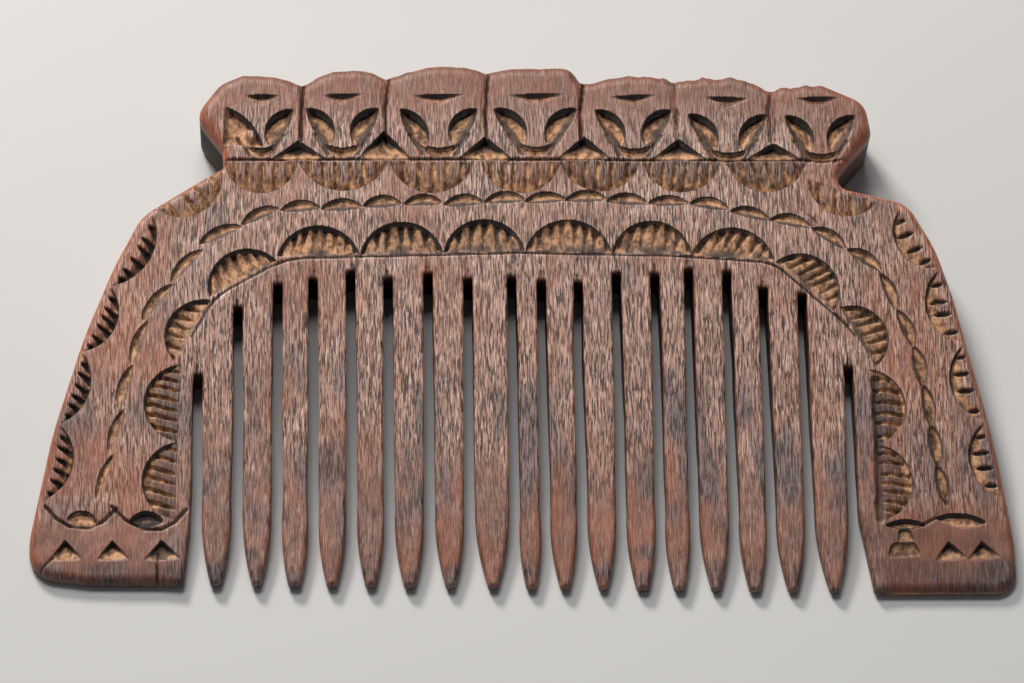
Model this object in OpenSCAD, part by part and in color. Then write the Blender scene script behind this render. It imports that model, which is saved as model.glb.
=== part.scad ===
// Decorative hair comb, sawn and carved from one thick board.
// The comb lies on its flat back: X runs along the crest, Y from the tooth tips up to the crest,
// Z through the thickness. The front slopes, so the board is a wedge: thick at the crest, thin
// at the tips. The origin is the middle of the footprint, on the back.
// Each node is one region of the board, and neighbours meet face to face.

/* [Board] */
// Overall width across the two guards, at the feet
comb_w = 141.3; // [140:0.1:144]
// Overall height, from the lower foot to the highest face of the crest
comb_h = 81.2; // [81:0.1:82]
// Thickness at the tooth tips
tip_t = 2; // [1.5:0.1:3]
// Thickness of the wedge at the top of the crest
crest_t = 11.9; // [9:0.1:14]
// Rounding of the front edge along the top of the crest
crest_edge_r = 3.2; // [1:0.1:4]
// Rounding of the back edge along the top of the crest
back_edge_r = 1.6; // [0.5:0.1:2]

/* [Teeth] */
// Width of a saw cut at its closed end
kerf_root = 1.4; // [1:0.1:1.8]
// Width of a saw cut between the tips
kerf_tip = 1.8; // [1.4:0.1:2.2]
// Length of the taper at the end of each tooth
taper_l = 9; // [6:0.5:12]
// Width of the blunt tip
tip_w = 1.6; // [1.2:0.1:2.4]

/* [Carving] */
// Depth of the half-moon hollows
moon_depth = 1; // [0.4:0.1:1.2]
// Extra depth of the flutes in the half-moons
flute_depth = 0.4; // [0.2:0.1:0.6]
// Width of a flute
flute_w = 0.8; // [0.5:0.1:1]
// Depth of the eye-shaped cuts of the chain
chain_depth = 0.7; // [0.3:0.1:1]
// Depth of the triangular chips
chip_depth = 1; // [0.4:0.1:1.2]
// Depth of the eyes and of the chips between the chins
eye_depth = 1.4; // [0.6:0.1:1.8]
// Width of the groove between two faces
groove_w = 0.7; // [0.4:0.1:1]
// Depth of the groove between two faces
groove_depth = 1.2; // [0.6:0.1:1.8]

/* [Hidden] */
$fn = 48;

// Slope of the front, and its angle
slope = (crest_t - tip_t) / comb_h;
face_angle = atan(slope);

// Centre of the first saw cut, and the width of each of the 17 teeth with one saw cut
first_cut_x = -46.9;
tooth_pitch = [5.8, 5.7, 5.2, 5.5, 5.4, 5.8, 5.8, 6.5, 4.3, 5.3, 5.7, 5.6, 4.9, 5.7, 5.3, 5.6, 6.4];
tooth_count = len(tooth_pitch);
// Height of the closed end of each of the 18 saw cuts, which follow the arch
cut_top = [
    32.9, 43.2, 46.7, 47.5, 48.7, 47.6, 48.3, 47.5, 47.8,
    47.2, 47.0, 48.4, 48.3, 49.0, 48.6, 46.1, 45.2, 34.0
];

// Line of the tips, which drops a little to the right, as the feet do
tip_level = 0.9;
tip_drop = 0.015;
tip_corner_r = 0.5;
taper_r = 3;

// Feet: height of the left one, how far its inner corner stands back, and the edge of the notch
left_foot_y = 1.6;
left_step = 0.8;
right_step = 1.6;
foot_corner_r = 0.5;
notch_y = 20;

// Outer edge of each guard, from the foot up: inset from half the width, height, corner radius
left_side = [[0, 2.9, 4.2], [0, 8.5, 12], [2.9, 24, 60], [7.1, 38.5, 60], [11.3, 49.3, 40], [15.2, 57.3, 7]];
right_side = [[0, 0, 3.2], [0, 7.5, 40], [2, 20.5, 60], [4.4, 32, 60], [7.3, 44.5, 40], [9.6, 52.4, 20],
    [13.5, 59.4, 5]];
// Necks under the overhanging ends of the crest, from the shoulder up: x, y, corner radius
left_neck = [[-46.3, 63.1, 4], [-43.4, 64.8, 0.7], [-43.6, 67.4, 0]];
right_neck = [[47.6, 61.7, 1.6], [47.1, 63.4, 1.2], [49.2, 66.2, 0]];
// Round ends of the crest, clockwise: x, drop from the highest face, corner radius
left_end = [[-47.7, 7.9, 2.8], [-44, 2.9, 4.5], [-41.2, 1.8, 0]];
right_end = [[46.5, 3.3, 0], [51.8, 6, 3.5], [52.6, 11, 2.5]];

// Crest: its base line, the grooves between its seven faces, and the drop of each face and groove
crest_y = 65.8;
face_edges = [-48.2, -32, -19.5, -4.7, 9.3, 23.5, 37.6, 52.2];
face_drop = [1.6, 0.7, 0, 0.3, 1.5, 1.9, 3];
face_count = len(face_drop);
groove_drop = [2.6, 3.4, 2.2, 1.1, 3, 2.6, 4.3, 4];
groove_start = 2.5;

// Faces: middle, half width of the nose, reach of the eyes, and height of the chin
face_x = [-38, -25.9, -11.7, 2.6, 17.1, 31.1, 44.8];
nose_half = [1.1, 1.65, 1.95, 1.5, 1.6, 1.8, 1.45];
eye_reach = [4.9, 5.4, 5.8, 6.2, 5.7, 5.9, 5.2];
chin_y = [65.6, 65.7, 65.7, 65.8, 65.6, 64.9, 64.7];
brow_w = 8;
brow_h = 1.6;
brow_up = 10.2;
eye_low = 2.1;
eye_high = 8;
eye_rise = 2.3;
eye_sag = 0.75;
mouth_up = 2.6;
mouth_hollow = 0.75;
mouth_sag = 2.2;
// Chips between the chins: x and height
chin_chips = [[-32.4, 2.9], [-19.8, 4.5], [-4.9, 3.6], [9.7, 3.6], [23.7, 3.2], [37.7, 2.6]];
chin_chip_w = 8;

// Lines that the carving follows: x, y and corner radius of each point
arch_line = [[-50, 10.9, 0], [-49.2, 36.4, 10], [-44.6, 44.8, 10], [-34.2, 50.7, 14], [0, 51.5, 0],
    [22, 51.1, 0], [37.2, 50, 7], [50.3, 38, 12], [51.9, 10.6, 0]];
chain_line = [[-60.9, 14, 0], [-57.4, 29.3, 0], [-54.2, 42.2, 6], [-45.8, 52.9, 6], [-35.8, 57.5, 9],
    [-20, 58.6, 0], [8, 59.4, 0], [26, 58.6, 12], [42, 55.2, 9], [52.6, 48.8, 6], [57.6, 35, 0],
    [60.9, 12.8, 0]];
// Ends of the half-moons down each outer edge
left_edge_line = [[-68.6, 13.8], [-66.5, 25.2], [-63.5, 36.1], [-59.5, 46], [-53.6, 57.2]];
right_edge_line = [[68.9, 13.8], [66.8, 25.3], [64.4, 37.2], [61.3, 48.6], [55.9, 58]];
left_edge_rise = 2.8;
right_edge_rise = 3.4;

// Arch: half-moons from the left foot to the right, each a width along the arch and a rise
arch_moons = [[11.5, 4.9], [11.6, 4.9], [10.6, 3.9], [11.2, 4.5], [12, 4.5], [12.1, 4.9], [11.8, 5],
    [12.7, 5], [11.5, 5], [12.1, 4.6], [11.2, 4.8], [10.2, 4.5], [11.3, 4.8], [11.3, 4.7]];
arch_flutes = 6;
// Half-moons below the crest: left and right end of each, and their rise
crest_moons = [[-43.2, -32.6], [-32.4, -19.2], [-18.9, -6.6], [-5.5, 6.2], [6.1, 17.9], [18.4, 29.8],
    [30.7, 42.5]];
crest_rise = 5;
crest_flutes = 5;
edge_flutes = 4;
// Half-moons on the shoulders: x, y, chord, rise, turn
shoulder_moons = [[-48.7, 61.4, 11.4, 4.4, 213], [47.8, 61, 10.5, 4, 162]];
// Chain: number of longer cuts at its left end, number of the others, and their lengths
long_links = 7;
short_links = 22;
long_link = 6.1;
short_link = 5.33;
link_rise = 1.3;
link_sag = 0.4;

// Feet: triangular chips (x, y, width, height), a stepped chip, and eye-shaped cuts above them
foot_chips = [[-65.4, 5.1, 4.7, 2.9], [-58.7, 5.1, 4.7, 2.8], [-51.7, 5.1, 5.2, 2.8], [61.2, 4.8, 4.8, 2.7],
    [66, 4.9, 4.9, 2.6]];
step_chip = [[52.3, 5.2, 4.4, 1.9], [53.7, 7.4, 2.2, 1.9]];
// x, y, chord, rise, sag
foot_hollows = [[-63.2, 10.8, 4.4, 1.5, 1], [-54, 10.7, 4.9, 1.5, 0.9], [54.8, 9.9, 6, 0.8, 0.7],
    [62.9, 10.6, 7.6, 1, 1.1]];

// Clear space kept beyond a surface by the tools that cut it
over = 1;

function cut_x(i) = i == 0 ? first_cut_x : cut_x(i - 1) + tooth_pitch[i - 1];
function tip_y(x) = tip_level - tip_drop * x;
function face_z(y) = tip_t + slope * y;
function two_digits(i) = i < 10 ? str("0", i) : str(i);
function tooth_name(i) = str("tooth_", two_digits(i + 1));
function xy(p) = [p.x, p.y];
function flipped(p) = [for (i = [len(p) - 1 : -1 : 0]) p[i]];

// Arc that rounds corner b between a and c, as a list of points
function unit(v) = v / norm(v);
function corner_arc(a, b, c, r, steps = 8) =
    let (
        u = unit(a - b),
        v = unit(c - b),
        half = acos(max(-1, min(1, u * v))) / 2,
        bisector = unit(u + v),
        centre = b + bisector * r / sin(half),
        from = b + u * r / tan(half) - centre,
        to = b + v * r / tan(half) - centre,
        start = atan2(from.y, from.x),
        turn = atan2(to.y, to.x) - start,
        sweep = turn > 180 ? turn - 360 : turn < -180 ? turn + 360 : turn
    )
    [for (k = [0 : steps]) centre + r * [cos(start + sweep * k / steps), sin(start + sweep * k / steps)]];

// Closed outline whose corners each have their own radius, as the third value
function rounded_outline(p) =
    let (n = len(p))
    [for (i = [0 : n - 1])
        each p[i].z == 0 ? [xy(p[i])]
            : corner_arc(xy(p[(i + n - 1) % n]), xy(p[i]), xy(p[(i + 1) % n]), p[i].z, p[i].z > 20 ? 3 : 8)];

// Open line with rounded corners
function rounded_line(p) =
    let (n = len(p))
    [for (i = [0 : n - 1])
        each p[i].z == 0 ? [xy(p[i])] : corner_arc(xy(p[i - 1]), xy(p[i]), xy(p[i + 1]), p[i].z)];

function line_length(p, i = 1) = i >= len(p) ? 0 : norm(p[i] - p[i - 1]) + line_length(p, i + 1);

// Point and direction at distance s along a line
function place_at(p, s, i = 1) =
    let (step = norm(p[i] - p[i - 1]))
    s <= step || i == len(p) - 1
        ? [p[i - 1] + (p[i] - p[i - 1]) * s / step,
            atan2(p[i].y - p[i - 1].y, p[i].x - p[i - 1].x)]
        : place_at(p, s - step, i + 1);

// Height of an arc of this chord and rise at distance x from its middle
function arc_r(chord, rise) = (chord * chord / 4 + rise * rise) / (2 * rise);
function arc_height(chord, rise, x) = rise - arc_r(chord, rise) + sqrt(pow(arc_r(chord, rise), 2) - x * x);

// Arc from left to right over its chord, without its two ends
function arc_points(chord, rise, steps = 12) =
    let (r = arc_r(chord, rise), half = asin(chord / 2 / r))
    [for (k = [1 : steps - 1])
        let (a = half * (2 * k / steps - 1))
        [r * sin(a), rise - r + r * cos(a)]];

// Top edge of the crest, from left to right: one low curve over each face, between its two ends
function face_top(i, steps = 12) =
    [for (k = [0 : steps - 1])
        let (
            q = 2 * k / steps - 1,
            beside = q < 0 ? groove_drop[i] : groove_drop[i + 1],
            x = face_edges[i] + (face_edges[i + 1] - face_edges[i]) * k / steps
        )
        if (x > left_end[2].x + 0.5 && x < right_end[0].x - 0.5)
            [x, comb_h - face_drop[i] - (beside - face_drop[i]) * pow(abs(q), 3), 0]];

crest_top = [for (i = [0 : face_count - 1]) each face_top(i)];

// ---- Flat shapes of the board ----

// Whole outline of the comb, clockwise from the left foot, without the teeth
module outline_shape() {
    left_cut = cut_x(0) - kerf_root / 2;
    right_cut = cut_x(tooth_count) + kerf_root / 2;
    polygon(rounded_outline(concat(
        [[left_cut - left_step, left_foot_y, foot_corner_r]],
        [for (p = left_side) [p.x - comb_w / 2, p.y, p.z]],
        left_neck,
        [for (p = left_end) [p.x, comb_h - p.y, p.z]],
        crest_top,
        [for (p = right_end) [p.x, comb_h - p.y, p.z]],
        flipped(right_neck),
        flipped([for (p = right_side) [comb_w / 2 - p.x, p.y, p.z]]),
        [[right_cut + right_step, 0, foot_corner_r]],
        [[right_cut, taper_l, 0], [right_cut, notch_y, 0]],
        [[left_cut, notch_y, 0], [left_cut, taper_l + 1, 0]]
    )));
}

// Saw cut i, open at the bottom, a little wider at the tips
module cut_shape(i) {
    polygon([
        [cut_x(i) - kerf_tip / 2, -over],
        [cut_x(i) + kerf_tip / 2, -over],
        [cut_x(i) + kerf_root / 2, cut_top[i]],
        [cut_x(i) - kerf_root / 2, cut_top[i]]
    ]);
}

// Column between two neighbouring saw cuts, below the shorter one
module column_shape(i) {
    translate([cut_x(i), -over]) square([tooth_pitch[i], min(cut_top[i], cut_top[i + 1]) + over]);
}

module tooth_shape(i) {
    left = cut_x(i);
    right = cut_x(i + 1);
    middle = (left + right) / 2;
    top = min(cut_top[i], cut_top[i + 1]);
    half_cut = kerf_tip / 2 - (kerf_tip - kerf_root) / 2 * (taper_l + over) / top;
    polygon(rounded_outline([
        [middle - tip_w / 2, tip_y(middle), tip_corner_r],
        [middle + tip_w / 2, tip_y(middle), tip_corner_r],
        [right - half_cut, tip_y(middle) + taper_l, taper_r],
        [right - kerf_root / 2, top, 0],
        [left + kerf_root / 2, top, 0],
        [left + half_cut, tip_y(middle) + taper_l, taper_r]
    ]));
}

// ---- Wedge and carving tools ----

// Board of a flat shape: a wedge with a rounded crest edge
module board() {
    intersection() {
        linear_extrude(crest_t + over) children();
        rotate([90, 0, 90])
            linear_extrude(comb_w + 10 * over, center = true)
                polygon(rounded_outline([
                    [-over, 0, 0],
                    [comb_h, 0, back_edge_r],
                    [comb_h, face_z(comb_h), crest_edge_r],
                    [-over, face_z(-over), 0]
                ]));
    }
}

// Puts a tool on the front, at x and y, level with the sloping surface
module on_front(x, y, turn = 0) {
    translate([x, y, face_z(y)]) rotate([face_angle, 0, 0]) rotate([0, 0, turn]) children();
}

// Cuts a flat shape into the front to a depth
module sunk(depth) {
    translate([0, 0, -depth]) linear_extrude(depth + 2 * over) children();
}

// Hollow over a chord along local X: its wall bulges by rise and its other side by sag
module hollow(chord, rise, sag, depth) {
    sunk(depth)
        polygon(concat(
            [[-chord / 2, 0]],
            arc_points(chord, rise),
            [[chord / 2, 0]],
            sag == 0 ? [] : flipped([for (p = arc_points(chord, sag)) [p.x, -p.y]])
        ));
}

// Half-moon hollow with a row of flutes in its floor, across the chord
module fluted_moon(chord, rise, flutes) {
    pitch = chord * 0.9 / flutes;
    hollow(chord, rise, 0, moon_depth);
    for (k = [0 : flutes - 1]) {
        x = (k - (flutes - 1) / 2) * pitch;
        length = arc_height(chord, rise, abs(x) + flute_w / 2) - 0.6;
        if (length > 0.5)
            translate([x - flute_w / 2, 0.3, -moon_depth - flute_depth])
                cube([flute_w, length, flute_depth + 0.1]);
    }
}

// Triangular chip with its point up
module chip(width, height, depth) {
    sunk(depth) polygon([[-width / 2, 0], [width / 2, 0], [0, height]]);
}

// Sum of the widths of the half-moons before number n
function widths_before(moons, n) = n == 0 ? 0 : moons[n - 1][0] + widths_before(moons, n - 1);

module arch_carving() {
    line = rounded_line(arch_line);
    last = len(arch_moons) - 1;
    unit_length = line_length(line) / widths_before(arch_moons, last + 1);
    for (i = [0 : last]) {
        width = arch_moons[i][0] * unit_length;
        at = place_at(line, widths_before(arch_moons, i) * unit_length + width / 2);
        on_front(at[0].x, at[0].y, at[1]) fluted_moon(width * 0.96, arch_moons[i][1], arch_flutes);
    }
}

// Half-moons down one outer edge, each between two ends, curving inwards
module edge_moons(ends, rise, half_turn) {
    for (i = [1 : len(ends) - 1]) {
        a = ends[i - 1];
        b = ends[i];
        middle = (a + b) / 2;
        on_front(middle.x, middle.y, atan2(b.y - a.y, b.x - a.x) + half_turn)
            fluted_moon(norm(b - a) * 0.95, rise, edge_flutes);
    }
}

module edge_carving() {
    edge_moons(left_edge_line, left_edge_rise, 180);
    edge_moons(right_edge_line, right_edge_rise, 0);
}

// Half-moons below the crest, open to its base line, and one on each shoulder
module crest_moon_carving() {
    for (m = crest_moons)
        on_front((m[0] + m[1]) / 2, crest_y + 0.2, 180) fluted_moon(m[1] - m[0], crest_rise, crest_flutes);
    for (m = shoulder_moons)
        on_front(m[0], m[1], m[4]) fluted_moon(m[2], m[3], edge_flutes);
}

module chain_carving() {
    line = rounded_line(chain_line);
    unit_length = line_length(line) / (long_links * long_link + short_links * short_link);
    for (i = [0 : long_links + short_links - 1]) {
        long = min(i, long_links) * long_link;
        short = max(0, i - long_links) * short_link;
        link = (i < long_links ? long_link : short_link) * unit_length;
        at = place_at(line, (long + short) * unit_length + link / 2);
        on_front(at[0].x, at[0].y, at[1]) hollow(link * 0.94, link_rise, link_sag, chain_depth);
    }
}

module foot_carving() {
    for (c = foot_chips) on_front(c[0], c[1]) chip(c[2], c[3], chip_depth);
    for (c = step_chip) on_front(c[0], c[1]) sunk(chip_depth / 2) square([c[2], c[3]]);
    for (h = foot_hollows) on_front(h[0], h[1]) hollow(h[2], h[3], h[4], chip_depth);
}

// Brow, eyes and mouth cuts of one carved face of the crest
module face_carving(i) {
    on_front(face_x[i], max(chin_y[i], crest_y - 0.5) + brow_up, 180) chip(brow_w, brow_h, chip_depth);
    for (side = [-1, 1]) {
        inner = [face_x[i] + side * (nose_half[i] + 0.3), chin_y[i] + eye_low];
        outer = [face_x[i] + side * eye_reach[i], chin_y[i] + eye_high];
        middle = (inner + outer) / 2;
        along = side * (outer - inner);
        on_front(middle.x, middle.y, atan2(along.y, along.x))
            hollow(norm(along), eye_rise, eye_sag, eye_depth);
    }
    mouth_w = 2 * nose_half[i] + 1.8;
    on_front(face_x[i], chin_y[i] + mouth_up)
        sunk(chip_depth)
            polygon(concat(
                [[-mouth_w / 2, 0]],
                [for (p = arc_points(mouth_w, mouth_hollow)) [p.x, -p.y]],
                [[mouth_w / 2, 0]],
                flipped([for (p = arc_points(mouth_w, mouth_sag)) [p.x, -p.y]])
            ));
}

// Groove between two faces, from the chins to the top
module face_groove(x) {
    length = comb_h - crest_y - groove_start + over;
    top_half = groove_w / 2 * (groove_depth + over) / groove_depth;
    on_front(x, crest_y + groove_start + length / 2)
        rotate([90, 0, 0])
            linear_extrude(length, center = true)
                polygon([[-top_half, over], [0, -groove_depth], [top_half, over]]);
}

// ---- Parts ----

module centred() {
    translate([0, -comb_h / 2, 0]) children();
}

module crest() {
    color("rosybrown")
        centred()
            difference() {
                board()
                    intersection() {
                        outline_shape();
                        translate([-comb_w, crest_y]) square([2 * comb_w, comb_h]);
                    }
                for (i = [0 : face_count - 1]) face_carving(i);
                for (i = [1 : face_count - 1]) face_groove(face_edges[i]);
                for (c = chin_chips) on_front(c.x, crest_y - 0.4) chip(chin_chip_w, c.y + 0.4, eye_depth);
            }
}

module spine() {
    color("rosybrown")
        centred()
            difference() {
                board()
                    difference() {
                        outline_shape();
                        translate([-comb_w, crest_y]) square([2 * comb_w, comb_h]);
                        translate([-comb_w, -over]) square([comb_w + cut_x(0), cut_top[0] + over]);
                        translate([cut_x(tooth_count), -over]) square([comb_w, cut_top[tooth_count] + over]);
                        for (i = [0 : tooth_count - 1]) column_shape(i);
                        for (i = [0 : tooth_count]) cut_shape(i);
                    }
                arch_carving();
                chain_carving();
                edge_carving();
                crest_moon_carving();
            }
}

// Guard on one side: side -1 is the left one
module guard(side) {
    cut = side < 0 ? 0 : tooth_count;
    color("rosybrown")
        centred()
            difference() {
                board()
                    difference() {
                        intersection() {
                            outline_shape();
                            translate([side < 0 ? -comb_w : cut_x(cut), -over])
                                square([side < 0 ? comb_w + cut_x(cut) : comb_w, cut_top[cut] + over]);
                        }
                        cut_shape(cut);
                    }
                arch_carving();
                chain_carving();
                edge_carving();
                foot_carving();
            }
}

module left_guard() {
    guard(-1);
}

module right_guard() {
    guard(1);
}

module tooth(i) {
    color("tan") centred() board() tooth_shape(i);
}

crest();
spine();
left_guard();
right_guard();
for (i = [0 : tooth_count - 1])
    tooth(i);
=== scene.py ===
"""Looks of a carved wooden hair comb: relief, worn wood, light and camera.

Lengths are millimetres on the board, with x along the crest and y up from the lower foot. They
become metres in the row frame when a mesh is made. The whole front is triangulated once, then
split into the comb's regions, so that neighbours share the points along their seam.
"""

import math

import bpy
import numpy as np
from mathutils import Matrix, Vector
from mathutils.geometry import delaunay_2d_cdt


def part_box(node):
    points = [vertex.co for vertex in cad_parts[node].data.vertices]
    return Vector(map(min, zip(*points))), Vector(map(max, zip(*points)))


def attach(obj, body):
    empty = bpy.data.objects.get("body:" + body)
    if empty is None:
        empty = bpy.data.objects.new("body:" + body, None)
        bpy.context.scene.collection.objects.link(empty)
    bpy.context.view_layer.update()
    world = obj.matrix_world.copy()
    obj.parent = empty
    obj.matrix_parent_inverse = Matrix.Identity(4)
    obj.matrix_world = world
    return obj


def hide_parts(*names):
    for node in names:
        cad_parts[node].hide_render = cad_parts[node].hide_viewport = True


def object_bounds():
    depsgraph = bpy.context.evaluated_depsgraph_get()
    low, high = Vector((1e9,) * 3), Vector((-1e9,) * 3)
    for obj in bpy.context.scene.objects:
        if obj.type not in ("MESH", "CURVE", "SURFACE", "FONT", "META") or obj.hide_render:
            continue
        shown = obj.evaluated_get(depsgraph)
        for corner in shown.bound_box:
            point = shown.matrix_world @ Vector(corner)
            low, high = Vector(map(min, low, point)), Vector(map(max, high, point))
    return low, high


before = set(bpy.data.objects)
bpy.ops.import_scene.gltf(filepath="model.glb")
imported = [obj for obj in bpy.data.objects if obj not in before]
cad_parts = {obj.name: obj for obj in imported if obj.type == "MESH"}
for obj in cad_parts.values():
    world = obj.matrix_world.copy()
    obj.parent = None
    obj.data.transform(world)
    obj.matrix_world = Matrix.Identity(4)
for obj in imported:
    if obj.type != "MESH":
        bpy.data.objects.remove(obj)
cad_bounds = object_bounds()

# Millimetres in a metre
MM = 1000.0
TOOTH_COUNT = 17
TOOTH_NAMES = [f"tooth_{i:02d}" for i in range(1, TOOTH_COUNT + 1)]

# Spacing of the mesh points on the front and on the back
GRID = 0.17
BACK_GRID = 0.8

# ---- What the frame says ----

board_low = np.array(cad_bounds[0]) * MM
board_high = np.array(cad_bounds[1]) * MM
BOARD_Y0 = board_low[1]
COMB_W = board_high[0] - board_low[0]


def board_box(node):
    """Lowest and highest corner of a CAD node, in board millimetres."""
    lowest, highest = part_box(node)
    shift = np.array([0, BOARD_Y0, 0])
    return np.array(lowest) * MM - shift, np.array(highest) * MM - shift


tooth_boxes = [board_box(name) for name in TOOTH_NAMES]
tooth_tops = [box[1][1] for box in tooth_boxes]
CREST_Y = board_box("crest")[0][1]

# The front slopes: the root ends of a low and of a high tooth give the wedge
LOW_TOOTH, HIGH_TOOTH = 0, 13
thin_end, thick_end = tooth_boxes[LOW_TOOTH][1], tooth_boxes[HIGH_TOOTH][1]
SLOPE = (thick_end[2] - thin_end[2]) / (thick_end[1] - thin_end[1])
TIP_T = thin_end[2] - SLOPE * thin_end[1]

# Width of a saw cut at its closed end and between the tips, and the middle of each cut
KERF_ROOT = tooth_boxes[1][0][0] - tooth_boxes[0][1][0]
KERF_TIP = 1.8
cut_x = [tooth_boxes[0][0][0] - KERF_ROOT / 2]
for left_box, right_box in zip(tooth_boxes, tooth_boxes[1:]):
    cut_x.append((left_box[1][0] + right_box[0][0]) / 2)
cut_x.append(tooth_boxes[-1][1][0] + KERF_ROOT / 2)

# Every saw cut ends below this height
CUTS_END = 52

spine_points = np.array([v.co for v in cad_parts["spine"].data.vertices]) * MM
spine_points[:, 1] -= BOARD_Y0


def closed_end(x, *beside):
    """Height of the closed end of the saw cut at x: the highest back corner there, or the teeth's."""
    gap = np.abs(spine_points[:, 0] - x)
    near = (gap < KERF_ROOT * 0.6) & (spine_points[:, 2] < 0.1) & (spine_points[:, 1] < CUTS_END)
    return max([*spine_points[near, 1], *beside])


cut_top = [board_box("left_guard")[1][1]]
cut_top += [closed_end(cut_x[i], tooth_tops[i - 1], tooth_tops[i]) for i in range(1, TOOTH_COUNT)]
cut_top += [board_box("right_guard")[1][1]]


def face_z(y):
    """Height of the uncarved front at y."""
    return TIP_T + SLOPE * y


# ---- Repeatable irregularity ----


def lattice_value(i, j, seed):
    """Pseudo-random value from -1 to 1 at a lattice point, the same on every run."""
    h = (i.astype(np.int64) * 374761393 + j.astype(np.int64) * 668265263 + seed * 1442695041) & 0xFFFFFFFF
    h = ((h ^ (h >> 13)) * 1274126177) & 0xFFFFFFFF
    return ((h ^ (h >> 16)) & 0xFFFF) / 32767.5 - 1


def noise(x, y, seed):
    """Smooth value noise from -1 to 1, with features one unit across."""
    x, y = np.asarray(x, float), np.asarray(y, float)
    i, j = np.floor(x), np.floor(y)
    s, t = x - i, y - j
    s, t = s * s * (3 - 2 * s), t * t * (3 - 2 * t)
    bottom = lattice_value(i, j, seed) * (1 - s) + lattice_value(i + 1, j, seed) * s
    top = lattice_value(i, j + 1, seed) * (1 - s) + lattice_value(i + 1, j + 1, seed) * s
    return bottom * (1 - t) + top * t


def ramp(value, start, end):
    """Smooth step from 0 at start to 1 at end."""
    t = np.clip((value - start) / (end - start), 0, 1)
    return t * t * (3 - 2 * t)


def jitter(index, seed, amount):
    """Small repeatable difference between the members of a row."""
    return amount * float(noise(np.array(index * 1.37 + 0.5), np.array(seed * 2.71), seed))


# ---- Outlines and lines ----


def unit(v):
    """The vector made one unit long."""
    return v / max(np.linalg.norm(v), 1e-9)


def corner_arc(before, corner, after, radius, steps=8):
    """Points of the arc that rounds a corner."""
    u, v = unit(before - corner), unit(after - corner)
    half = math.acos(np.clip(u @ v, -1, 1)) / 2
    centre = corner + unit(u + v) * radius / math.sin(half)
    start = corner + u * radius / math.tan(half) - centre
    end = corner + v * radius / math.tan(half) - centre
    angle = math.atan2(start[1], start[0])
    turn = (math.atan2(end[1], end[0]) - angle + math.pi) % (2 * math.pi) - math.pi
    angles = angle + turn * np.linspace(0, 1, steps + 1)
    return centre + radius * np.stack([np.cos(angles), np.sin(angles)], 1)


def rounded_line(corners):
    """Open line through (x, y, radius) corners. The first and last are plain ends."""
    xy = [np.array(c[:2], float) for c in corners]
    points = [xy[0][None]]
    for k in range(1, len(xy) - 1):
        if corners[k][2] > 0:
            points.append(corner_arc(xy[k - 1], xy[k], xy[k + 1], corners[k][2]))
        else:
            points.append(xy[k][None])
    points.append(xy[-1][None])
    return np.concatenate(points)


def resample(line, step):
    """The same open line with points at most step apart, all its corners kept."""
    points = [line[:1]]
    for a, b in zip(line, line[1:]):
        n = max(1, math.ceil(np.linalg.norm(b - a) / step))
        points.append(a + (b - a) * np.arange(1, n + 1)[:, None] / n)
    return np.concatenate(points)


def place_at(line, distance):
    """Point and direction (in radians) at a distance along a line."""
    for a, b in zip(line, line[1:]):
        step = np.linalg.norm(b - a)
        if distance <= step:
            break
        distance -= step
    direction = unit(b - a)
    return a + direction * distance, math.atan2(direction[1], direction[0])


def line_length(line):
    """Length along all the points of a line."""
    return float(np.linalg.norm(np.diff(line, axis=0), axis=1).sum())


# Half the comb's width, the feet's corner radii, and how much higher the left foot stands
HALF_W = COMB_W / 2
FOOT_R = 3.2
LEFT_FOOT_R = 4.2
LEFT_FOOT_Y = 1.6

# Outer edges from foot to neck: corners as (x, y, radius)
LEFT_OUTER = rounded_line([
    (cut_x[0] - 3, LEFT_FOOT_Y, 0),
    (-62, LEFT_FOOT_Y + 0.1, 6),
    (-HALF_W, LEFT_FOOT_Y + 1.3, LEFT_FOOT_R),
    (-HALF_W, 8.5, 12),
    (-67.7, 24, 60),
    (-63.5, 38.5, 60),
    (-59.3, 49.3, 40),
    (-55.4, 57.3, 7),
    (-46.3, 63.1, 4),
    (-43.4, 64.8, 0.7),
    (-43.6, 67.4, 0),
])
RIGHT_OUTER = rounded_line([
    (cut_x[-1] + 4, 0, 0),
    (HALF_W, 0, FOOT_R),
    (HALF_W, 7.5, 40),
    (68.8, 20.5, 60),
    (66.4, 32, 60),
    (63.5, 44.5, 40),
    (61.2, 52.4, 20),
    (57.3, 59.4, 5),
    (47.6, 61.7, 1.6),
    (47.1, 63.4, 1.2),
    (49.2, 66.2, 0),
])

# Crest: the grooves between its seven faces, each face's top height and each groove's top height
GROOVE_X = [-32, -19.5, -4.7, 9.3, 23.5, 37.6]
FACE_TOP = [79.6, 80.5, 81.2, 80.9, 79.7, 79.3, 78.2]
GROOVE_TOP = [77.8, 79.0, 80.1, 78.2, 78.6, 76.9]
# How late each face's top curves down to its left and right groove: the power of the curve
LEFT_FALL = [3.0, 1.7, 1.4, 3.0, 1.2, 3.4, 4.5]
RIGHT_FALL = [3.6, 3.4, 3.6, 14.0, 4.5, 3.0, 3.4]
FACE_EDGES = [-48.2] + GROOVE_X + [52.2]
FACE_COUNT = len(FACE_TOP)
# How far the crest's edge is worn round
CREST_ROUND = 2.0


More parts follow.
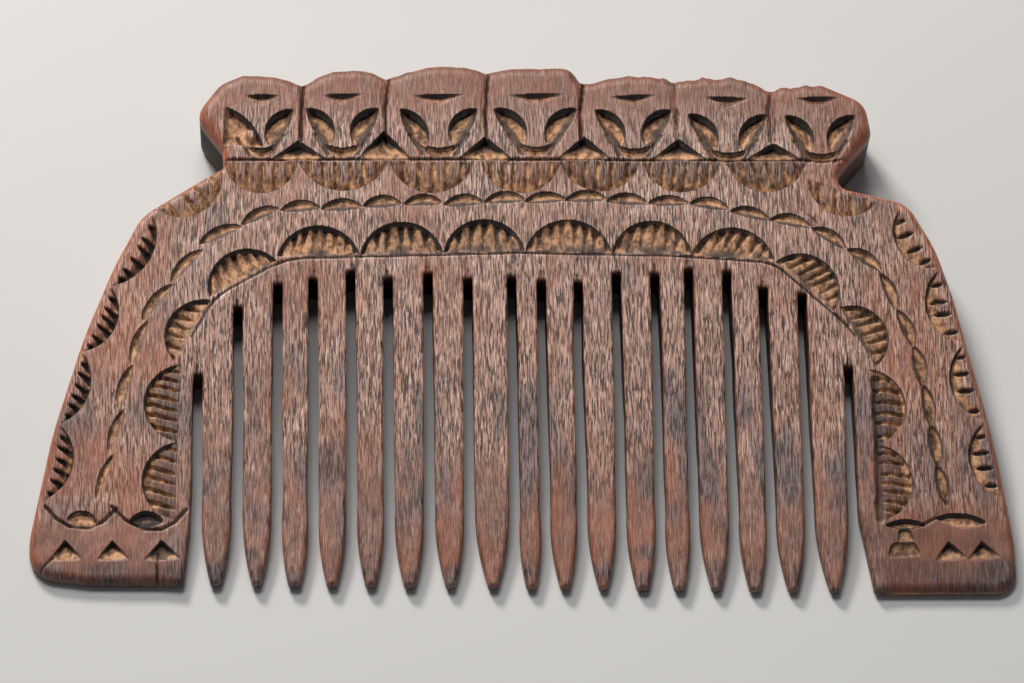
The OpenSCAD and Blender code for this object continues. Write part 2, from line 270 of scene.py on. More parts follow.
def crest_outline():
    """Left end, the worn scalloped top and the right end, from left neck to right neck."""
    left_end = [(-43.6, 67.4, 0), (-47.7, 73.3, 2.8), (-44.0, 78.3, 4.5), (-41.2, FACE_TOP[0] - 0.2, 0)]
    right_end = [(46.5, FACE_TOP[-1] - 0.3, 0), (51.8, 75.2, 3.5), (52.6, 70.2, 2.5), (49.2, 66.2, 0)]
    tops = []
    for i in range(FACE_COUNT):
        x = np.linspace(FACE_EDGES[i], FACE_EDGES[i + 1], 25)
        q = 2 * (x - FACE_EDGES[i]) / (FACE_EDGES[i + 1] - FACE_EDGES[i]) - 1
        beside = [FACE_TOP[i] - 1, *GROOVE_TOP, FACE_TOP[i] - 1][i:i + 2]
        dip = FACE_TOP[i] - np.where(q < 0, beside[0], beside[1])
        fall = np.where(q < 0, LEFT_FALL[i], RIGHT_FALL[i])
        tops.append(np.stack([x, FACE_TOP[i] - dip * np.abs(q) ** fall], 1))
    top = np.concatenate([t[:-1] for t in tops] + [tops[-1][-1:]])
    top[:, 1] = np.convolve(np.pad(top[:, 1], 2, "edge"), [0.1, 0.2, 0.4, 0.2, 0.1], "valid")
    top = top[(top[:, 0] > -41) & (top[:, 0] < 46)]
    x = top[:, 0]
    ragged = 0.08 + 0.2 * ramp(x, 5, 30)
    top[:, 1] += ragged * (noise(x / 1.1, 0 * x, 11) + 0.5 * noise(x / 0.45, 0 * x, 12))
    return np.concatenate([rounded_line(left_end)[:-1], top, rounded_line(right_end)[1:]])


def cut_width(i, y):
    """Width of saw cut i at height y."""
    return KERF_ROOT + (KERF_TIP - KERF_ROOT) * (1 - np.clip(y / cut_top[i], 0, 1))


# Length of the taper at the end of each tooth, and the width of the blunt tip
TAPER = 10.5
TIP_W = 1.7


def tip_y(x):
    """Level of the tips, which drops a little to the right."""
    return 0.9 - 0.015 * x


def side_wave(i, y):
    """Small hand-sawn wandering of a saw cut."""
    return 0.10 * noise(y / 9.0, 0 * y + i * 3.1, 21) + 0.04 * noise(y / 2.2, 0 * y + i * 5.3, 22)


def tooth_edge(i, side, middle, start_y):
    """One side of tooth i, from its root end to the tip: side -1 is the left side."""
    cut = i if side < 0 else i + 1
    y = np.linspace(start_y, tip_y(middle) + TAPER + 1.5, 40)
    x = cut_x[cut] - side * cut_width(cut, y) / 2 + side_wave(cut, y)
    shoulder = np.array([x[-1], y[-1]])
    lean = jitter(i, 7 + side, 0.12)
    t = np.linspace(0, 1, 14)[1:]
    half = TIP_W / 2 + jitter(i, 30, 0.12)
    end = np.array([middle + side * half + lean, tip_y(middle) + 0.75])
    taper = shoulder + (end - shoulder) * t[:, None]
    taper[:, 0] += side * 0.42 * np.sin(math.pi * t) ** 0.8
    return np.concatenate([np.stack([x, y], 1), taper])


def saw_cut_end(i):
    """Closed end of saw cut i, from its left wall to its right wall, with small round corners."""
    y = cut_top[i]
    half = cut_width(i, y) / 2
    wave = side_wave(i, np.array([y - 0.6]))[0]
    left, right = cut_x[i] - half + wave, cut_x[i] + half + wave
    tilt = jitter(i, 41, 0.18)
    return rounded_line([
        (left, y - 0.7, 0), (left, y - tilt, 0.42), (right, y + tilt, 0.42), (right, y - 0.7, 0),
    ])


def tooth_loop(i):
    """Both sides and the blunt tip of tooth i, from its right root to its left one."""
    middle = (cut_x[i] + cut_x[i + 1]) / 2
    down = tooth_edge(i, 1, middle, cut_top[i + 1] - 0.75)
    up = tooth_edge(i, -1, middle, cut_top[i] - 0.75)[::-1]
    tip = rounded_line([
        (*down[-1], 0), (down[-1][0] - 0.05, tip_y(middle), 0.62), (up[0][0] + 0.05, tip_y(middle), 0.62),
        (*up[0], 0),
    ])
    return [down[:-1], tip, up[1:]]


def right_foot_inside():
    """Inner edge of the right guard, from the foot up to the last saw cut's end."""
    y = np.linspace(TAPER + 1, cut_top[-1] - 0.7, 30)
    x = cut_x[-1] + cut_width(TOOTH_COUNT, y) / 2 + side_wave(TOOTH_COUNT, y)
    foot = rounded_line([
        (cut_x[-1] + 4, 0, 0), (x[0] + 1.7, 0.0, 0.6), (x[0], y[0], 2.5), (x[1], y[1], 0),
    ])
    return [foot, np.stack([x, y], 1)[2:]]


def left_foot_inside():
    """Inner edge of the left guard, from the first saw cut's end down to the foot."""
    y = np.linspace(cut_top[0] - 0.75, TAPER + 2, 30)
    x = cut_x[0] - cut_width(0, y) / 2 + side_wave(0, y)
    foot = rounded_line([
        (x[-1], y[-1], 0), (x[-1], y[-1] - 2, 2), (x[-1] - 0.8, LEFT_FOOT_Y, 0.6),
        (cut_x[0] - 3, LEFT_FOOT_Y, 0),
    ])
    return [np.stack([x, y], 1)[:-1], foot]


def comb_outline():
    """The comb's whole edge as one closed line, clockwise from the left foot."""
    parts = [LEFT_OUTER, crest_outline(), RIGHT_OUTER[::-1]] + right_foot_inside()
    for i in range(TOOTH_COUNT - 1, -1, -1):
        parts += [saw_cut_end(i + 1)[::-1]] + tooth_loop(i)
    parts += [saw_cut_end(0)[::-1]] + left_foot_inside()
    outline = np.concatenate(parts)
    keep = np.linalg.norm(outline - np.roll(outline, 1, axis=0), axis=1) > 1e-4
    return outline[keep]


# The regions meet a little below the closed ends of the saw cuts
SEAM_DROP = 0.9
roots = [min(cut_top[i], cut_top[i + 1]) - SEAM_DROP for i in range(TOOTH_COUNT)]
guard_seams = [cut_top[0] - SEAM_DROP, cut_top[-1] - SEAM_DROP]


def seam_lines():
    """Lines where the regions of the board meet."""
    reach = 0.3
    lines = [
        [(FACE_EDGES[0] + 2, CREST_Y), (FACE_EDGES[-1] - 1, CREST_Y)],
        [(-HALF_W, guard_seams[0]), (cut_x[0] - reach, guard_seams[0])],
        [(cut_x[-1] + reach, guard_seams[1]), (HALF_W, guard_seams[1])],
    ]
    for i, y in enumerate(roots):
        lines.append([(cut_x[i] + reach, y), (cut_x[i + 1] - reach, y)])
    return [np.array(line, float) for line in lines]


def region_of(x, y):
    """Index of the region that a point belongs to: crest, spine, guards, then teeth."""
    region = np.full(len(x), 1)
    region[y > CREST_Y] = 0
    region[(x < cut_x[0]) & (y < guard_seams[0])] = 2
    region[(x > cut_x[-1]) & (y < guard_seams[1])] = 3
    for i, root in enumerate(roots):
        region[(x > cut_x[i]) & (x < cut_x[i + 1]) & (y < root)] = 4 + i
    return region


REGION_NAMES = ["crest", "spine", "left_guard", "right_guard"] + TOOTH_NAMES

# ---- The carving: each cut has a place, a size and a turn ----

# Width of the steep wall of a cut
WALL = 0.14


class Scoop:
    """A knife cut with a steep wall along its top curve and a floor that rises to its other side.

    Local u runs along the chord and v towards the wall. rise is how far the wall stands from the
    chord (negative for a hollow curve), sag how far the floor's edge lies on the other side. power
    shapes the floor, spread is the share of the height over which the ends get shallow, and bias
    makes one end deeper, with wider painted shade there. flutes, style and lean describe the strokes
    across it. fresh is how bare its wood is, shade the reach of the painted shade at the foot of the
    wall, rim a dark line at the floor's edge, partly dirt and partly painted shade, and grime the
    dirt in patches, which also darkens ridges and sets the painted shade between pillars.
    """

    def __init__(self, x, y, turn, chord, rise, sag=0.0, depth=1.0, top="round", bottom="round",
                 power=0.8, flutes=0, style="", lean=0.0, seed=0, fresh=1.0, shade=0.28, rim=0.0,
                 spread=0.35, bias=0.0, grime_and_shade=0.0):
        self.x, self.y, self.turn = x, y, turn
        self.chord, self.rise, self.sag, self.depth = chord, rise, sag, depth
        self.top_shape, self.bottom_shape = top, bottom
        self.power, self.flutes, self.style, self.lean = power, flutes, style, lean
        self.seed, self.fresh, self.shade, self.rim, self.grime_and_shade = seed, fresh, shade, rim, grime_and_shade
        self.spread, self.bias = spread, bias

    def curve(self, u, height, shape):
        """Distance from the chord to one of the cut's edges at u."""
        q = np.clip(np.abs(2 * u / self.chord), 0, 1)
        if shape == "point":
            return height * (1 - q)
        if shape == "flat":
            return height * (1 - q ** 6)
        if abs(height) < 0.12 * self.chord:
            return height * (1 - q * q)
        radius = (self.chord ** 2 / 4 + height ** 2) / (2 * abs(height))
        arc = np.sqrt(np.maximum(radius ** 2 - u ** 2, 0)) - (radius - abs(height))
        return math.copysign(1, height) * np.maximum(arc, 0)

    def local(self, x, y):
        """Board coordinates as u and v."""
        c, s = math.cos(self.turn), math.sin(self.turn)
        dx, dy = x - self.x, y - self.y
        return dx * c + dy * s, dy * c - dx * s

    def world(self, u, v):
        """u and v as board coordinates."""
        c, s = math.cos(self.turn), math.sin(self.turn)
        return np.stack([self.x + u * c - v * s, self.y + u * s + v * c], 1)

    def lines(self, step):
        """Edges of the cut, for the mesh to follow: top of the wall, foot of the wall, floor edge."""
        u = np.linspace(-self.chord / 2, self.chord / 2, max(5, math.ceil(self.chord * 1.3 / step)))
        top = self.curve(u, self.rise, self.top_shape)
        low = -self.curve(u, self.sag, self.bottom_shape)
        lines = [self.world(u, top)]
        inner = self.world(u * 0.985, np.maximum(top - WALL * 1.25, low))[2:-2]
        if len(inner) > 2:
            lines.append(inner)
        if self.sag > 0.15 and self.bottom_shape == "point":
            lines.append(self.world(u, low))
        return lines

    def apply(self, field):
        """Sink the cut into the field and note its bare wood, its dirt and its painted shade."""
        reach = self.chord / 2 + abs(self.rise) + self.sag + 0.5
        near = np.flatnonzero((np.abs(field.x - self.x) < reach) & (np.abs(field.y - self.y) < reach))
        u, v = self.local(field.x[near], field.y[near])
        top = self.curve(u, self.rise, self.top_shape)
        low = -self.curve(u, self.sag, self.bottom_shape)
        inside = (v < top + 0.03) & (v > low) & (np.abs(u) < self.chord / 2) & (top - low > 0.05)
        near, u, v, top, low = near[inside], u[inside], v[inside], top[inside], low[inside]
        if not len(near):
            return
        t = np.clip((v - low) / (top - low), 0, 1)
        stations = np.linspace(-self.chord / 2, self.chord / 2, 201)
        slope = np.gradient(self.curve(stations, self.rise, self.top_shape), stations)
        steep = np.interp(u, stations, np.clip(np.abs(slope), 0, 6))
        to_wall = np.maximum(top - v, 0) / np.sqrt(1 + steep ** 2)
        size = np.clip((top - low) / (self.spread * max(self.rise + self.sag, 0.8)), 0.2, 1)
        along = 1 + self.bias * np.clip(3 * u / self.chord, -1, 1)
        dark_floor = self.grime_and_shade * ramp(noise(u / 1.6, v / 1.2, 36 + self.seed), -0.4, 0.4)
        depth = self.depth * t ** self.power * size * np.sqrt(np.maximum(along, 0.2))
        ragged = 1 + 0.35 * noise(u / 0.8, v / 0.8, 62 + self.seed)
        # Painted shade at the foot of the wall: it reaches further where the cut is larger and at its deeper
        # end, and on a chip it stays near the point. rim adds a dark line at the floor's edge, partly dirt
        # and partly painted shade, and dark_floor the dirt in patches.
        reach = self.shade * (0.35 + 0.65 * size) * np.maximum(along, 0.25)
        if self.top_shape == "point":
            reach = reach * (0.25 + 1.2 * ramp(np.abs(2 * u / self.chord), 0.75, 0.0))
        dark = 0.97 * ramp(to_wall * ragged, 2.2 * reach, 0.5 * reach) * ramp(depth, 0.1, 0.4)
        dark = np.maximum.reduce([dark, self.rim * ramp(t * ragged, 0.5, 0.25), dark_floor])
        fresh = np.full(len(u), self.fresh)
        if self.flutes:
            depth, dark, fresh = self.fluted(u, v, t, to_wall, depth, dark)
        chatter = 0.05 * noise(u / 0.7, v / 0.5, 60 + self.seed)
        chatter += 0.03 * noise(u / 0.3, v / 1.5, 61 + self.seed)
        depth = np.maximum(depth + chatter * ramp(depth, 0.05, 0.3), 0) * np.clip(to_wall / WALL, 0, 1)
        field.depth[near] = np.maximum(field.depth[near], depth)
        field.fresh[near] = np.maximum(field.fresh[near], fresh * ramp(depth, 0.04, 0.3))
        field.dark[near] = np.maximum(field.dark[near], dark)

    def fluted(self, u, v, t, to_wall, depth, dark):
        """Repeated strokes across the cut, one for each flute, in one of four styles. The dark in the
        strokes, between the pillars and at the foot of the wall is painted shade; the patches and the dark
        ridge tops are dirt.
        """
        pitch = self.chord * 0.9 / self.flutes
        count = self.flutes + 1 if self.style == "pillars" else self.flutes
        stroke_depth = np.zeros_like(u)
        stroke = np.zeros_like(u)
        for k in range(count):
            at = (k - (count - 1) / 2) * pitch + jitter(k, 70 + self.seed, 0.16 * pitch)
            off = np.abs(u - at - self.lean * v - 0.06 * noise(v / 0.8, 0 * v + k, 80 + self.seed))
            strength = 0.85 + jitter(k, 90 + self.seed, 0.25)
            if self.style == "pillars":
                wide = 0.19 + 0.2 * ramp(t, 0.3, 1.0)
                g = np.clip(1 - off / (pitch * wide), 0, 1) ** 0.75 * ramp(t, 0.03, 0.3)
                deep = self.depth * (0.30 + 0.70 * t)
            elif self.style == "grooves":
                g = np.clip(1 - off / (pitch * (0.15 + 0.12 * t)), 0, 1) ** 0.8 * ramp(t, 0.0, 0.15)
                deep = 0.7 * self.depth
            elif self.style == "thorns":
                start = 0.05 + jitter(k, 95, 0.08)
                g = np.clip(1 - off / (pitch * (0.05 + 0.42 * t)), 0, 1) ** 0.7
                g *= ramp(t, start, start + 0.2)
                deep = 1.1 * self.depth
            else:
                s = np.clip((t + 0.02) / (0.82 + jitter(k, 96, 0.12)), 0, 1)
                g = np.clip(1 - off / (0.05 + 0.40 * np.sin(math.pi * s) ** 0.7), 0, 1) ** 0.7
                deep = 0.75 * ramp(s, 0, 0.3) * ramp(s, 1, 0.8)
            stroke_depth = np.maximum(stroke_depth, g * deep * strength)
            stroke = np.maximum(stroke, g)
        patch = noise(u / 1.1, v / 0.9, 33 + self.seed)
        if self.style == "pillars":
            # Painted shade: a dark trench along the foot of the wall, which is also sunk a little.
            trench = ramp(to_wall * (1 + 0.5 * patch), 2.4 * self.shade, 0.9 * self.shade)
            trench *= ramp(t, 0.2, 0.5)
            depth = np.maximum(0.15 + 0.40 * t * self.depth + stroke_depth, 1.15 * self.depth * trench)
            # Painted shade in the gaps between the pillars, darker with more grime; dirt lies in patches low
            # on the floor.
            between = min(0.94, 0.5 + 1.2 * self.grime_and_shade)
            tone = between * ramp(stroke, 0.15, 0.7) * ramp(t + 0.3 * patch, 0.05, 0.5)
            tone = np.maximum(tone, 0.97 * trench)
            low_dirt = ramp(patch, 0.1 - 1.5 * self.grime_and_shade, 0.6 - 1.5 * self.grime_and_shade)
            tone = np.maximum(tone, 0.8 * ramp(t, 0.5, 0.1) * low_dirt)
            tone = np.maximum(tone, self.grime_and_shade + (0.5 - self.grime_and_shade) * ramp(patch, 0.2, 0.8))
            fresh = np.ones_like(u)
        elif self.style == "grooves":
            depth = 0.03 + 0.9 * self.depth * t ** 2.6 + stroke_depth
            # Dark ridge tops are dirt; the patchy dark in the strokes is painted shade.
            ridge = ramp(stroke, 0.25, 0.05) * ramp(t, 0.85, 0.6)
            in_stroke = 0.8 * ramp(stroke, 0.6, 0.9) * ramp(patch, -0.3, 0.3)
            tone = np.maximum((0.12 + 1.2 * self.grime_and_shade) * ridge, in_stroke)
            tone = np.maximum(tone, self.grime_and_shade * ramp(patch, -0.6, 0.2))
            # Painted shade along the foot of the wall.
            tone = np.maximum(tone, 0.95 * ramp(to_wall, 2 * self.shade, 0.6 * self.shade))
            fresh = 1 - 0.9 * ridge
        elif self.style == "thorns":
            depth = 0.9 * self.depth * ramp(t, 0.45, 1.0) + stroke_depth
            facet = ramp(t, 0.62, 0.8) * ramp(patch, 0.0, 0.4) * ramp(to_wall, 0.2, 0.45)
            # The dark in the strokes and at the foot of the wall is painted shade.
            tone = np.maximum(0.96 * ramp(stroke, 0.02, 0.3), 0.85 * ramp(to_wall, 0.4, 0.1))
            tone *= 1 - facet
            fresh = np.maximum(ramp(stroke, 0.0, 0.2), ramp(t, 0.5, 0.75))
        else:
            depth = 0.75 * self.depth * t ** 1.3 + stroke_depth
            # The dark in the strokes and on one side of the wall is painted shade; the patches are dirt.
            tone = np.maximum(0.97 * ramp(stroke, 0.15, 0.6), dark * ramp(u * self.lean, -1.5, 0.5))
            tone = np.maximum(tone, 0.35 * ramp(patch, 0.2, 0.8))
            fresh = ramp(t, 0.12, 0.6)
        return np.minimum(depth, self.depth * 1.35), tone, fresh


# Lines that the rows of cuts follow, from the left foot to the right one
ARCH_LINE = rounded_line([
    (-50, 10.9, 0), (-49.2, 36.4, 10), (-44.6, 44.8, 10), (-34.2, 50.7, 14), (0, 51.5, 0),
    (22, 51.1, 0), (37.2, 50.0, 7), (50.3, 38.0, 12), (51.9, 10.6, 0),
])
CHAIN_LINE = rounded_line([
    (-60.9, 14.0, 0), (-57.4, 29.3, 0), (-54.2, 42.2, 6), (-45.8, 52.9, 6), (-35.8, 57.5, 9),
    (-20, 58.6, 0), (8, 59.4, 0), (26, 58.6, 12), (42, 55.2, 9), (52.6, 48.8, 6), (57.6, 35, 0),
    (60.9, 12.8, 0),
])
# Ends of the half-moons down each outer edge
LEFT_EDGE_LINE = np.array([(-68.6, 13.8), (-66.5, 25.2), (-63.5, 36.1), (-59.5, 46.0), (-53.6, 57.2)])
RIGHT_EDGE_LINE = np.array([(68.9, 13.8), (66.8, 25.3), (64.4, 37.2), (61.3, 48.6), (55.9, 58.0)])

# Half-moons of the inner row, left foot to right: width along the arch, rise, lean of the flutes
ARCH_MOONS = [
    (11.5, 4.9, 0.35), (11.6, 4.9, 0.3), (10.6, 3.9, -0.1), (11.2, 4.5, 0.15), (12.0, 4.5, 0.1),
    (12.1, 4.9, 0.0), (11.8, 5.0, 0.05), (12.7, 5.0, 0.0), (11.5, 5.0, 0.15), (12.1, 4.6, 0.45),
    (11.2, 4.8, 0.3), (10.2, 4.5, 0.1), (11.3, 4.8, 0.12), (11.3, 4.7, 0.12),
]


def arch_moons():
    """Inner row: big half-moons on the arch, curve outwards, with rounded pillars inside."""
    scale = line_length(ARCH_LINE) / sum(moon[0] for moon in ARCH_MOONS)
    cuts = []
    start = 0
    for i, (width, rise, lean) in enumerate(ARCH_MOONS):
        width *= scale
        (x, y), turn = place_at(ARCH_LINE, start + width / 2)
        start += width
        upright = 1 < i < 12
        deep = i < 7
        if i in (5, 6) or not upright:
            grime_and_shade = 0.35
        else:
            grime_and_shade = 0.12 if deep else 0.2
        cuts.append(Scoop(x, y, turn, width * 0.985, rise + jitter(i, 50, 0.2), 0, 1.15 if deep else 0.85,
                          flutes=6 + (i % 3 == 1), style="pillars" if upright else "grooves", lean=lean,
                          seed=i, shade=0.19 if deep else 0.10, grime_and_shade=grime_and_shade))
    return cuts


# Left and right end of each half-moon below the crest, and the lean of its grooves
CREST_MOONS = [
    (-43.2, -32.6), (-32.4, -19.2), (-18.9, -6.6), (-5.5, 6.2), (6.1, 17.9), (18.4, 29.8), (30.7, 42.5),
]
CREST_MOON_LEAN = [0, 0, 0, 0.05, 0.1, 0.15, -0.3]


def crest_moons():
    """Outer row below the crest: half-moons with the curve down and grooves between flat ridges."""
    cuts = []
    for i, (a, b) in enumerate(CREST_MOONS):
        cuts.append(Scoop((a + b) / 2, CREST_Y - 0.15, math.pi, b - a, 5.0 + jitter(i, 51, 0.3), 0, 0.95,
                          flutes=5 + i % 2, style="grooves", lean=CREST_MOON_LEAN[i], seed=20 + i,
                          shade=0.1, grime_and_shade=0.05 if i < 4 else 0.27))
    cuts.append(Scoop(-48.7, 61.4, math.radians(213), 11.4, 4.4, 0, 0.8, flutes=4, style="grooves",
                      seed=28, shade=0.05))
    cuts.append(Scoop(47.8, 61.0, math.radians(162), 10.5, 4.0, 0, 0.9, flutes=4, style="grooves",
                      lean=-0.3, seed=29, shade=0.1))
    return cuts


def edge_moons():
    """Outer row down both edges: curve inwards, thorn-like cuts on the left and strokes on the right."""
    cuts = []
    for side, line in ((-1, LEFT_EDGE_LINE), (1, RIGHT_EDGE_LINE)):
        for i in range(len(line) - 1):
            a, b = line[i], line[i + 1]
            middle = (a + b) / 2
            turn = math.atan2(b[1] - a[1], b[0] - a[0]) + (math.pi if side < 0 else 0)
            rise = (2.8 if side < 0 else 3.4) + jitter(i, 52 + side, 0.25)
            cuts.append(Scoop(middle[0], middle[1], turn, np.linalg.norm(b - a) * 0.97, rise, 0, 0.85,
                              flutes=6 if side < 0 else 4, style="thorns" if side < 0 else "strokes",
                              lean=0.35 if side < 0 else 0.2, seed=30 + 5 * side + i))
    return cuts


def chain_cuts():
    """Middle row: a chain of eye-shaped cuts along the arch, longer and turned at its left end."""
    pitches = np.array([6.1] * 7 + [5.3] * 9 + [5.37] * 13)
    pitches *= line_length(CHAIN_LINE) / pitches.sum()
    cuts = []
    for i, pitch in enumerate(pitches):
        (x, y), turn = place_at(CHAIN_LINE, pitches[:i].sum() + pitch / 2)
        away = jitter(i, 53, 0.25)
        left_leg = 1 - min(i / 7, 1)
        right_leg = max(0, (i - 20) / 8)
        chord = pitch * (1.02 + jitter(i, 55, 0.05) + 0.04 * left_leg + 0.12 * right_leg)
        cuts.append(Scoop(x - away * math.sin(turn), y + away * math.cos(turn),
                          turn + jitter(i, 54, 0.08) - 0.12 * left_leg, chord,
                          1.5 + jitter(i, 56, 0.2) - 0.6 * left_leg - 0.4 * right_leg,
                          0.3 + 0.3 * left_leg + 0.6 * right_leg, 0.7, power=0.9, seed=40 + i,
                          shade=0.13, rim=0.85 - 0.6 * left_leg,
                          bias=0.7 * left_leg - 0.35 * (1 - right_leg), grime_and_shade=0.25))
    return cuts


def chip(x, y, width, height, depth, turn=0.0, seed=0, power=0.7, shade=0.5, grime_and_shade=0.2):
    """Triangular chip with its point up: deepest at the point, floor rising to the base."""
    return Scoop(x, y, turn, width, height, 0.15, depth, top="point", power=power, seed=seed, shade=shade,
                 spread=1.0, grime_and_shade=grime_and_shade)


# Chips at the feet, as (x, y) of the middle of the base, width and height
LEFT_CHIPS = [(-65.4, 5.1, 4.7, 2.9), (-58.7, 5.1, 4.7, 2.8), (-51.7, 5.1, 5.2, 2.8)]
RIGHT_CHIPS = [(61.2, 4.8, 4.8, 2.7), (66.0, 4.9, 4.9, 2.6)]


def foot_cuts():
    """Chips on both feet, the stepped chip on the right one and the hollows above them."""
    cuts = []
    for k, (x, y, width, height) in enumerate(LEFT_CHIPS + RIGHT_CHIPS):
        cuts.append(chip(x, y, width, height, 1.2, turn=0.1 if x > 0 else 0.04, seed=90 + k, shade=0.3,
                         grime_and_shade=0.85 if k == 2 else 0.15))
    cuts.append(Scoop(54.5, 5.3, 0.05, 4.6, 2.0, 0.2, 0.55, top="flat", seed=96, power=0.4, shade=0.1))
    cuts.append(Scoop(54.8, 7.4, 0.05, 2.2, 2.0, 0.1, 0.7, top="flat", seed=94, power=0.6, shade=0.15))
    cuts.append(Scoop(-63.2, 10.8, -0.1, 4.4, 1.5, 1.0, 0.9, seed=97, power=0.6, shade=0.12))
    cuts.append(Scoop(-54.0, 10.7, 0.0, 4.9, 1.5, 0.9, 0.9, seed=98, power=0.5, rim=1.0, shade=0.9))
    cuts.append(Scoop(54.8, 9.9, 0.02, 6.0, 0.8, 0.7, 0.9, seed=99, power=0.7, rim=0.9, shade=0.4))
    cuts.append(Scoop(62.9, 10.6, -0.08, 7.6, 1.0, 1.1, 0.9, seed=100, power=0.7, shade=0.3))
    return cuts


# Carved faces, left to right: middle, width of the brow, half width of the nose, how far the eyes
# reach out from the middle, and level of the base
FACE_MIDDLE = [-38.0, -25.9, -11.7, 2.6, 17.1, 31.1, 44.8]
BROW_WIDTH = [5.6, 6.4, 8.2, 8.8, 7.0, 7.0, 6.8]
NOSE_HALF = [1.1, 1.65, 1.95, 1.5, 1.6, 1.8, 1.45]
EYE_REACH = [4.9, 5.4, 5.8, 6.2, 5.7, 5.9, 5.2]
FACE_BASE = [65.6, 65.7, 65.7, 65.8, 65.6, 64.9, 64.7]
# Chips between the chins: middle and height
CHIN_CHIPS = [(-32.4, 2.9), (-19.8, 4.5), (-4.9, 3.6), (9.7, 3.6), (23.7, 3.2), (37.7, 2.6)]


def face_cuts(i):
    """Brow chip, eyes and mouth of one carved face of the crest."""
    middle, base, nose, reach = FACE_MIDDLE[i], FACE_BASE[i], NOSE_HALF[i], EYE_REACH[i]
    brow_y = max(base, CREST_Y - 0.5) + 10.2
    brow = Scoop(middle + jitter(i, 57, 0.4), brow_y, jitter(i, 59, 0.05), BROW_WIDTH[i], 0.12, 1.6, 0.9,
                 bottom="point", power=0.9, seed=110 + i, shade=0.34, spread=0.8, fresh=0.4, grime_and_shade=0.5)
    mouth = Scoop(middle, base + 2.6, 0.0, nose * 2 + 1.8, -0.75, 2.2, 0.95, power=0.6, seed=140 + i,
                  shade=0.12, rim=0.4)
    cuts = [brow, mouth]
    for side in (-1, 1):
        if i == 0 and side < 0:
            continue
        inner = np.array([middle + side * (nose + 0.3), base + (1.2 if (i, side) == (2, -1) else 2.1)])
        outer = np.array([middle + side * reach, base + 8.0])
        a, b = (inner, outer) if side > 0 else (outer, inner)
        turn = math.atan2(b[1] - a[1], b[0] - a[0])
        rise = 2.3 + jitter(i, 58 + side, 0.2)
        cuts.append(Scoop(*((a + b) / 2), turn, np.linalg.norm(b - a), rise, 0.75, 1.5, power=0.75,
                          seed=120 + 2 * i + side, shade=0.36, rim=0.85, spread=0.6, bias=0.65 * side,
                          grime_and_shade=0.3))
    return cuts


def crest_cuts():
    """Everything carved on the crest: the faces, the chips between their chins, and one broken eye."""
    cuts = []
    for i in range(FACE_COUNT):
        cuts += face_cuts(i)
    for k, (x, height) in enumerate(CHIN_CHIPS):
        cuts.append(chip(x, CREST_Y, 8.0, height, 1.7, seed=160 + k, power=0.6, shade=0.62))
    # Broken left eye of the first face: one wide hollow with a square lower corner
    top_left, low_right = np.array([-43.2, 74.0]), np.array([-37.6, 67.6])
    turn = math.atan2(*(low_right - top_left)[::-1])
    cuts.append(Scoop(*((top_left + low_right) / 2), turn, np.linalg.norm(low_right - top_left), 1.1, 4.1,
                      1.5, bottom="point", power=0.35, seed=150, shade=0.25, rim=0.3))
    return cuts


def shifted(line, distance):
    """The line moved sideways by a distance."""
    direction = np.gradient(line, axis=0)
    direction /= np.linalg.norm(direction, axis=1)[:, None]
    return line + distance * np.stack([-direction[:, 1], direction[:, 0]], 1)


# Single incised lines on the guards and the shoulder: points, half width, depth, how dark
SINGLE_LINES = [
    ([(51.4, 31.5), (51.5, 22), (51.3, 10.9)], 0.8, 0.55, 0.8),
    ([(-68.4, 12.9), (-66.8, 11.1), (-64.9, 10.0), (-62.2, 9.8), (-60.2, 10.7), (-58.3, 12.6)],
     0.26, 0.5, 0.8),
    ([(-59.0, 13.0), (-56.9, 10.9), (-54.4, 9.6), (-51.8, 9.5), (-49.9, 10.6), (-48.3, 12.4)],
     0.26, 0.5, 0.8),
    ([(-52.3, 1.2), (-52.4, 3.4), (-52.2, 6.2)], 0.14, 0.8, 1.0),
    ([(57.4, 9.9), (59.2, 10.9)], 0.25, 0.4, 0.8),
    ([(-69, 3.4), (-67.2, 5.4)], 0.2, 0.3, 0.6),
    ([(41.2, 58.2), (46.5, 53.5), (50.8, 48.6), (53.4, 44)], 0.09, 0.1, 0.5),
    ([(42.2, 57.2), (47.5, 52.6), (51.4, 47.2)], 0.08, 0.08, 0.4),
]
# Grooves between the faces: half width, depth, how dark. One of them only starts below the brows
GROOVES = [(0.30, 1.0, 0.9), (0.2, 0.9, 0.95), (0.2, 0.9, 0.95), (0.24, 1.0, 0.95), (0.18, 0.3, 0.6),
           (0.7, 0.5, 0.35)]
SHORT_GROOVE = 4


def groove_lines():
    """The grooves between neighbouring faces."""
    lines = []
    for k, (x, (width, depth, tone)) in enumerate(zip(GROOVE_X, GROOVES)):
        wave = jitter(k, 62, 0.25)
        top = CREST_Y + 7 if k == SHORT_GROOVE else GROOVE_TOP[k] - 0.3
        points = [(x + 0.4 + wave, top), (x - wave, CREST_Y + 8), (x, CREST_Y + 3)]
        lines.append((points, width, depth, tone))
    return lines


def chin_lines():
    """Dark line under each chin."""
    lines = []
    for k, x in enumerate(FACE_MIDDLE):
        points = [(x - 4, CREST_Y - 0.1), (x + 4, CREST_Y)]
        lines.append((points, 0.3, 0.15, 0.4 + jitter(k, 67, 0.3)))
    return lines


def saw_marks():
    """Where the saw ran on past the end of each cut: a short nick in a faint longer mark."""
    lines = []
    for i, (x, end) in enumerate(zip(cut_x, cut_top)):
        lean = jitter(i, 63, 0.2)
        short = end + 0.9 + jitter(i, 68, 0.4)
        lines.append(([(x + lean / 3, end - 0.5), (x + lean, short)], 0.17, 0.25, 0.6))
        lines.append(([(x + lean / 3, end), (x + lean, min(end + 3, CUTS_END - 1))], 0.3, 0.08, 0.25))
    return lines


